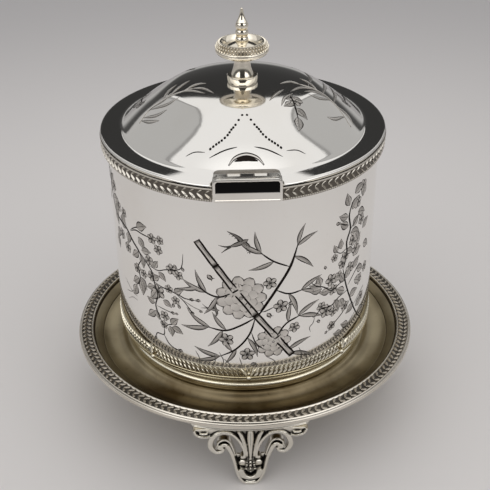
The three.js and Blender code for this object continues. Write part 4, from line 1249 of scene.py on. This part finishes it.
centre.line([(24, 128), (20.5, 117), (14, 106), (9, 98), (6, 93)], 0.5) \
    .line([(6, 93), (-2, 88), (-9, 85), (-17, 86)], 0.36) \
    .line([(14, 106), (20, 103), (27, 103.5)], 0.3) \
    .line([(-4, 106.5), (-11, 103), (-17, 104.5), (-21, 108)], 0.32) \
    .line([(14, 80), (19, 87), (26, 90)], 0.32) \
    .line([(5, 93), (2, 83), (-4, 75), (-12, 70)], 0.34) \
    .line([(20.5, 117), (13, 121), (7, 126)], 0.3) \
    .motif("lance", (-17, 104.5, 118, 0.95), (-17.4, 104.6, 160, 0.95), (-20, 107, -160, 0.9),
        (-12, 103.3, -118, 0.95), (-16, 86, 150, 0.95), (-16.6, 86, -168, 1.05),
        (-10, 85, -122, 0.95), (-8.5, 85.4, 128, 0.85), (26, 103.6, 28, 0.9),
        (26.4, 103.4, -22, 0.95), (20, 103, -66, 1.0), (24.6, 90, 30, 0.95),
        (25.6, 89.6, -14, 1.0), (20, 87.6, 86, 0.85), (-11.4, 70.2, 168, 1.0),
        (-12, 70, -158, 0.95), (-4, 75, -118, 0.8), (-6, 73.6, 120, 0.85), (8, 125.4, 150, 1.0),
        (7.4, 125.8, 108, 0.85), (13, 121, -158, 0.9), (23.8, 127.6, 74, 0.8),
        (23.6, 127, 30, 0.85), (22.4, 122, -36, 0.95), (1.4, 81, -64, 0.9), (20, 72, 24, 0.95),
        (21, 70, -18, 1.0)).motif("swallow", (-2, 131, 12, 1.0), (-14, 96, -20, 0.62)) \
    .bloom(-1.5, 103, 11.5, ((0.45, 1, 11), (0.25, 0.7, 8), (0.03, 0.4, 5))) \
    .bloom(13, 78, 8.5, ((0.45, 1, 10), (0.22, 0.68, 7), (0.03, 0.38, 5))) \
    .motif("blossom", (11.4, 110, 20, 1.0), (16.4, 97, 10, 1.1), (-8.4, 80, 20, 1.1),
        (1, 72, 0, 1.1), (23, 84, 40, 0.9)) \
    .motif("bud", (12, 92, 130, 1.1), (-14, 112, 140, 1.2), (5, 66.6, 190, 1.0),
        (20, 97.4, 10, 1.0)).line([(13, 97), (10, 95.6), (8, 95)], 0.2) \
    .line([(9, 74), (5, 78), (3, 84)], 0.24)
for x, y, degrees in ((-16, 63.5, 60), (-11, 63, 78), (-7, 63.4, 100), (-3, 62.8, 70),
                      (15, 63, 110), (26, 63, 76), (30, 63.4, 98), (-22, 63.8, 84)):
    reach, angle = 7.5 + 2 * math.sin(x), math.radians(degrees)
    (u, v), (s, t) = polar(reach * 0.5, angle), polar(reach, angle + 0.3)
    centre.line([(x, y), (x + u, y + v), (x + s, y + t)], 0.16, 0.8)
for name, drawing in (("wall_left_spray", left_spray), ("wall_right_spray", right_spray),
                      ("wall_bamboo", centre)):
    flat = drawing.mesh(name, motifs)
    if drawing is centre:
        flat.transform(Matrix.Diagonal((1.1, 1.1, 1, 1)))
        flat.transform(Matrix.Translation((0, -6.6 * MM, 0)))
    flat.transform(Matrix.Translation((-1.77 * MM, 0, 0)))
    bent = grown(flat, wrapped, engraved, Radius=drum_radius * MM)
    piece(name, bent, engraved, "barrel", "oxidised_silver")

# The lid, seen from above: a fan of cuts behind the hinge, sprays, and blades of grass

fan = Drawing()
dots = [(1.1, -36.9), (4.4, -41.8), (6.4, -43.8), (8.2, -46), (11, -48), (13.6, -49.2),
        (16.4, -50.6)]
for side in (-1, 1):
    for x, y in spline(dots, 2):
        fan.line([(side * (x - 0.5), y + 0.15), (side * x, y), (side * (x + 0.6), y - 0.2)], 0.42)
    fan.line([(side * 17, -54.2), (side * 10, -52.4), (side * 4, -51.6)], 0.22) \
        .line([(side * 19, -51.4), (side * 24, -50), (side * 28, -50.4)], 0.16)
fan.petal([(-5.4, -57.2), (0, -56.2), (5.4, -57.2)], 0.2, 0.9, 1.2, 0.9, 0.2, middle=1.0) \
    .petal([(-8.2, -58.6), (-5.2, -55.9), (0, -54.7), (5.2, -55.9), (8.2, -58.6)], 0.3, 0.75,
        0.85, 0.75, 0.3, middle=0.05)
for side, x, y, turn in ((-1, 30, 32, 60), (1, 34, 34, 40), (1, 24, -26, -80), (-1, 52, 12, 90),
                         (1, 53, 10, 90), (-1, 8, 52, 10), (1, 14, 50, 0)):
    c, s = polar(1, math.radians(turn))
    fan.line([(side * (x - 8 * c), y - 8 * s), (side * x, y + 1), (side * (x + 9 * c), y + 9 * s)],
             0.3)
    tilt = 180 - turn if side < 0 else turn
    for along, lean, size in ((-6, 48, 0.95), (-2, -50, 1.0), (3, 44, 1.0), (8, -8, 1.0)):
        fan.motif("leaf", (side * (x + along * c), y + along * s, tilt + lean, size))
    fan.motif("blossom", (side * (x + 1), y + 2.5, turn, 1.1),
              (side * (x - 7 * c), y - 7 * s - 2, 0, 0.9))
blades = [
    [(-46, -12.4), (-37.5, -17), (-31.6, -15.3)], [(-45, -11.8), (-38.9, -11.5), (-35, -8)],
    [(-49.4, -15.3), (-42.9, -20.3), (-37.3, -20.9)],
    [(-31.9, -10), (-25.9, -10.1), (-18.8, -15.2)], [(-28.9, -9), (-23.2, -3.3), (-18.2, -3)],
    [(-35.9, -10.5), (-31.2, -3.1), (-26.5, 3.1)], [(-25, -8), (-19.5, -9.2), (-14.4, -15.9)],
    [(-39.9, -11.3), (-37.2, -4.9), (-33, 0.5)], [(-50.4, -16.6), (-45.9, -21.9), (-41.1, -25.2)],
    [(46.5, -11.8), (51.5, -12.9), (54.6, -18.2)], [(43.6, -9.7), (37.2, -14.4), (32.2, -14.4)],
    [(41.6, -9.2), (36.5, -9.4), (30.3, -12.1)], [(37.6, -8.4), (34, -0.7), (29.2, 4)],
    [(34.6, -7.7), (28.6, -8.2), (23.3, -14.2)], [(39.5, -9.5), (42.2, 3.6), (42.1, 14.1)],
    [(32.7, -5.2), (35.1, 7.9), (32.8, 18.4)], [(28.8, -4.4), (23.9, -1.8), (18.7, -5.2)],
    [(45.6, -10.1), (47.2, 2.9), (45.5, 13.4)], [(50.1, -16.9), (44.5, -23.7), (40.4, -25.6)],
    [(20, -12.5), (16.3, -17.5), (12.3, -25.2)], [(24.2, -16.2), (20.1, -21.2), (17.9, -28.9)]]
for blade in blades:
    fan.petal(blade, 0.15, 0.7, 0.95, 0.7, 0.1, edge=0.6, middle=0.0, high=8)
for stem in ([(-51.4, -17.1), (-47.1, -12.1), (-40.9, -11.1), (-32.9, -10.6), (-25, -8)],
             [(52.8, -21.6), (48.3, -14), (42.6, -8.9), (35.6, -6.9), (28.8, -4.4)]):
    fan.petal(stem, 0.3, 0.5, 0.5, 0.2, edge=0.5, middle=0.0, high=8)
lid_cut = grown(fan.mesh("lid_sprays", motifs), laid, engraved, Lid=lid_dome)
piece("lid_sprays", lid_cut, engraved, "lid", "oxidised_silver")
for made in motifs.values():
    bpy.data.objects.remove(made)

# Hidden parts that stay as the CAD has them: drawn bar, washers and sheet

for node in ("drum_floor", "lid_bezel", "finial_stud", "finial_washer", "finial_nut", "stand_bolt",
             "stand_washer", "stand_nut"):
    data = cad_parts[node].data
    data.materials.clear()
    data.materials.append((polished if node == "lid_bezel" else dull).material)

# Light, floor and camera

def stage_mesh(name, mesh, material):
    mesh.materials.append(material)
    made = placed(name, mesh)


floor_finish = Finish("pale_floor", roughness=0.6)
# Painted light falloff: the floor is painted darker away from the object, like a pool of light
# round it
across, depth = axes(floor_finish.tree, floor_finish.place)[:2]
distance = (across * across + depth * depth) ** 0.5
floor_finish.use(base_color=floor_finish.mix(
    distance.step(0.15, 0.9), colour(220, 217, 216), colour(175, 173, 174)))
reach = 6000
corners = [(-reach, -reach, 0), (reach, -reach, 0), (reach, reach, 0), (-reach, reach, 0)]
stage_mesh("floor", shape("floor", corners, [(0, 1, 2, 3)]), floor_finish.material)

# The studio: light overhead, two grey areas in it, and a pale background. The camera sees the
# background everywhere, and reflections and clear parts see it near the horizon
world = bpy.data.worlds.new("studio")
bpy.context.scene.world = world
world.use_nodes = True
sky = world.node_tree
side, depth, up = axes(sky, add(sky, "ShaderNodeTexCoord").outputs["Generated"])
edge = 0.53 - side.math("ABSOLUTE", side).step(0.24, 0.55) * 0.32
overhead = (up - edge).step(-0.015, 0.02)
level = overhead * ((0 - depth).step(0.1, 0.6) * 0.7 + 0.8)
for away, near, x, y, wide, tall, lean in ((-0.952, 0.465, -0.6, 0.47, 0.32, 0.4, -8),
                                           (0.942, 0.545, 0.6, 0.5, 0.3, 0.36, 10)):
    c, s = polar(1, math.radians(lean))
    u, v = ((side - x) * c + (depth - y) * s) / wide, ((depth - y) * c - (side - x) * s) / tall
    inside = 1 - (u * u + v * v) ** 0.5
    inside = inside.math("MINIMUM", inside, (side * away + depth * 0.32 - near) * 4)
    level = level * (inside.step(0.05, 0.12) * 0.2 - inside.step(-0.05, 0.0) * 0.68 + 1)
glow = (0.4 - up).step(0, 0.4) * (up + 0.08).step(0, 0.08) * 0.05 + 0.035
light_path = add(sky, "ShaderNodeLightPath")
camera_ray, glossy_ray, transmission_ray = (
    Level(sky, light_path.outputs[f"Is {kind} Ray"])
    for kind in ("Camera", "Glossy", "Transmission"))
near_horizon = 1 - up.step(0.02, 0.14)
seen = camera_ray + (glossy_ray + transmission_ray) * near_horizon
seen = seen.math("MINIMUM", seen, 1)
background = sky.nodes["Background"].inputs
pale = 0.42
link(sky, background["Strength"], (level + glow) * (1 - seen) + seen * pale)
background["Color"].default_value = (1.0, 0.99, 0.98, 1)

# The camera is fitted to the photo's rings, and goes round the axis until the hinge is in place
camera_data = bpy.data.cameras.new("camera")
camera_data.lens, camera_data.sensor_width = 70.25, 36
camera = placed("camera", camera_data)
camera.matrix_world = Matrix.Rotation(math.radians(-1.45), 4, "Z") \
    @ Matrix.Translation((0.0005, -0.4553, 0.3665)) \
    @ Matrix.Rotation(math.radians(59.183), 4, "X") @ Matrix.Rotation(math.radians(-0.575), 4, "Z")
bpy.context.scene.camera = camera
bpy.context.scene.view_settings.view_transform = "Standard"
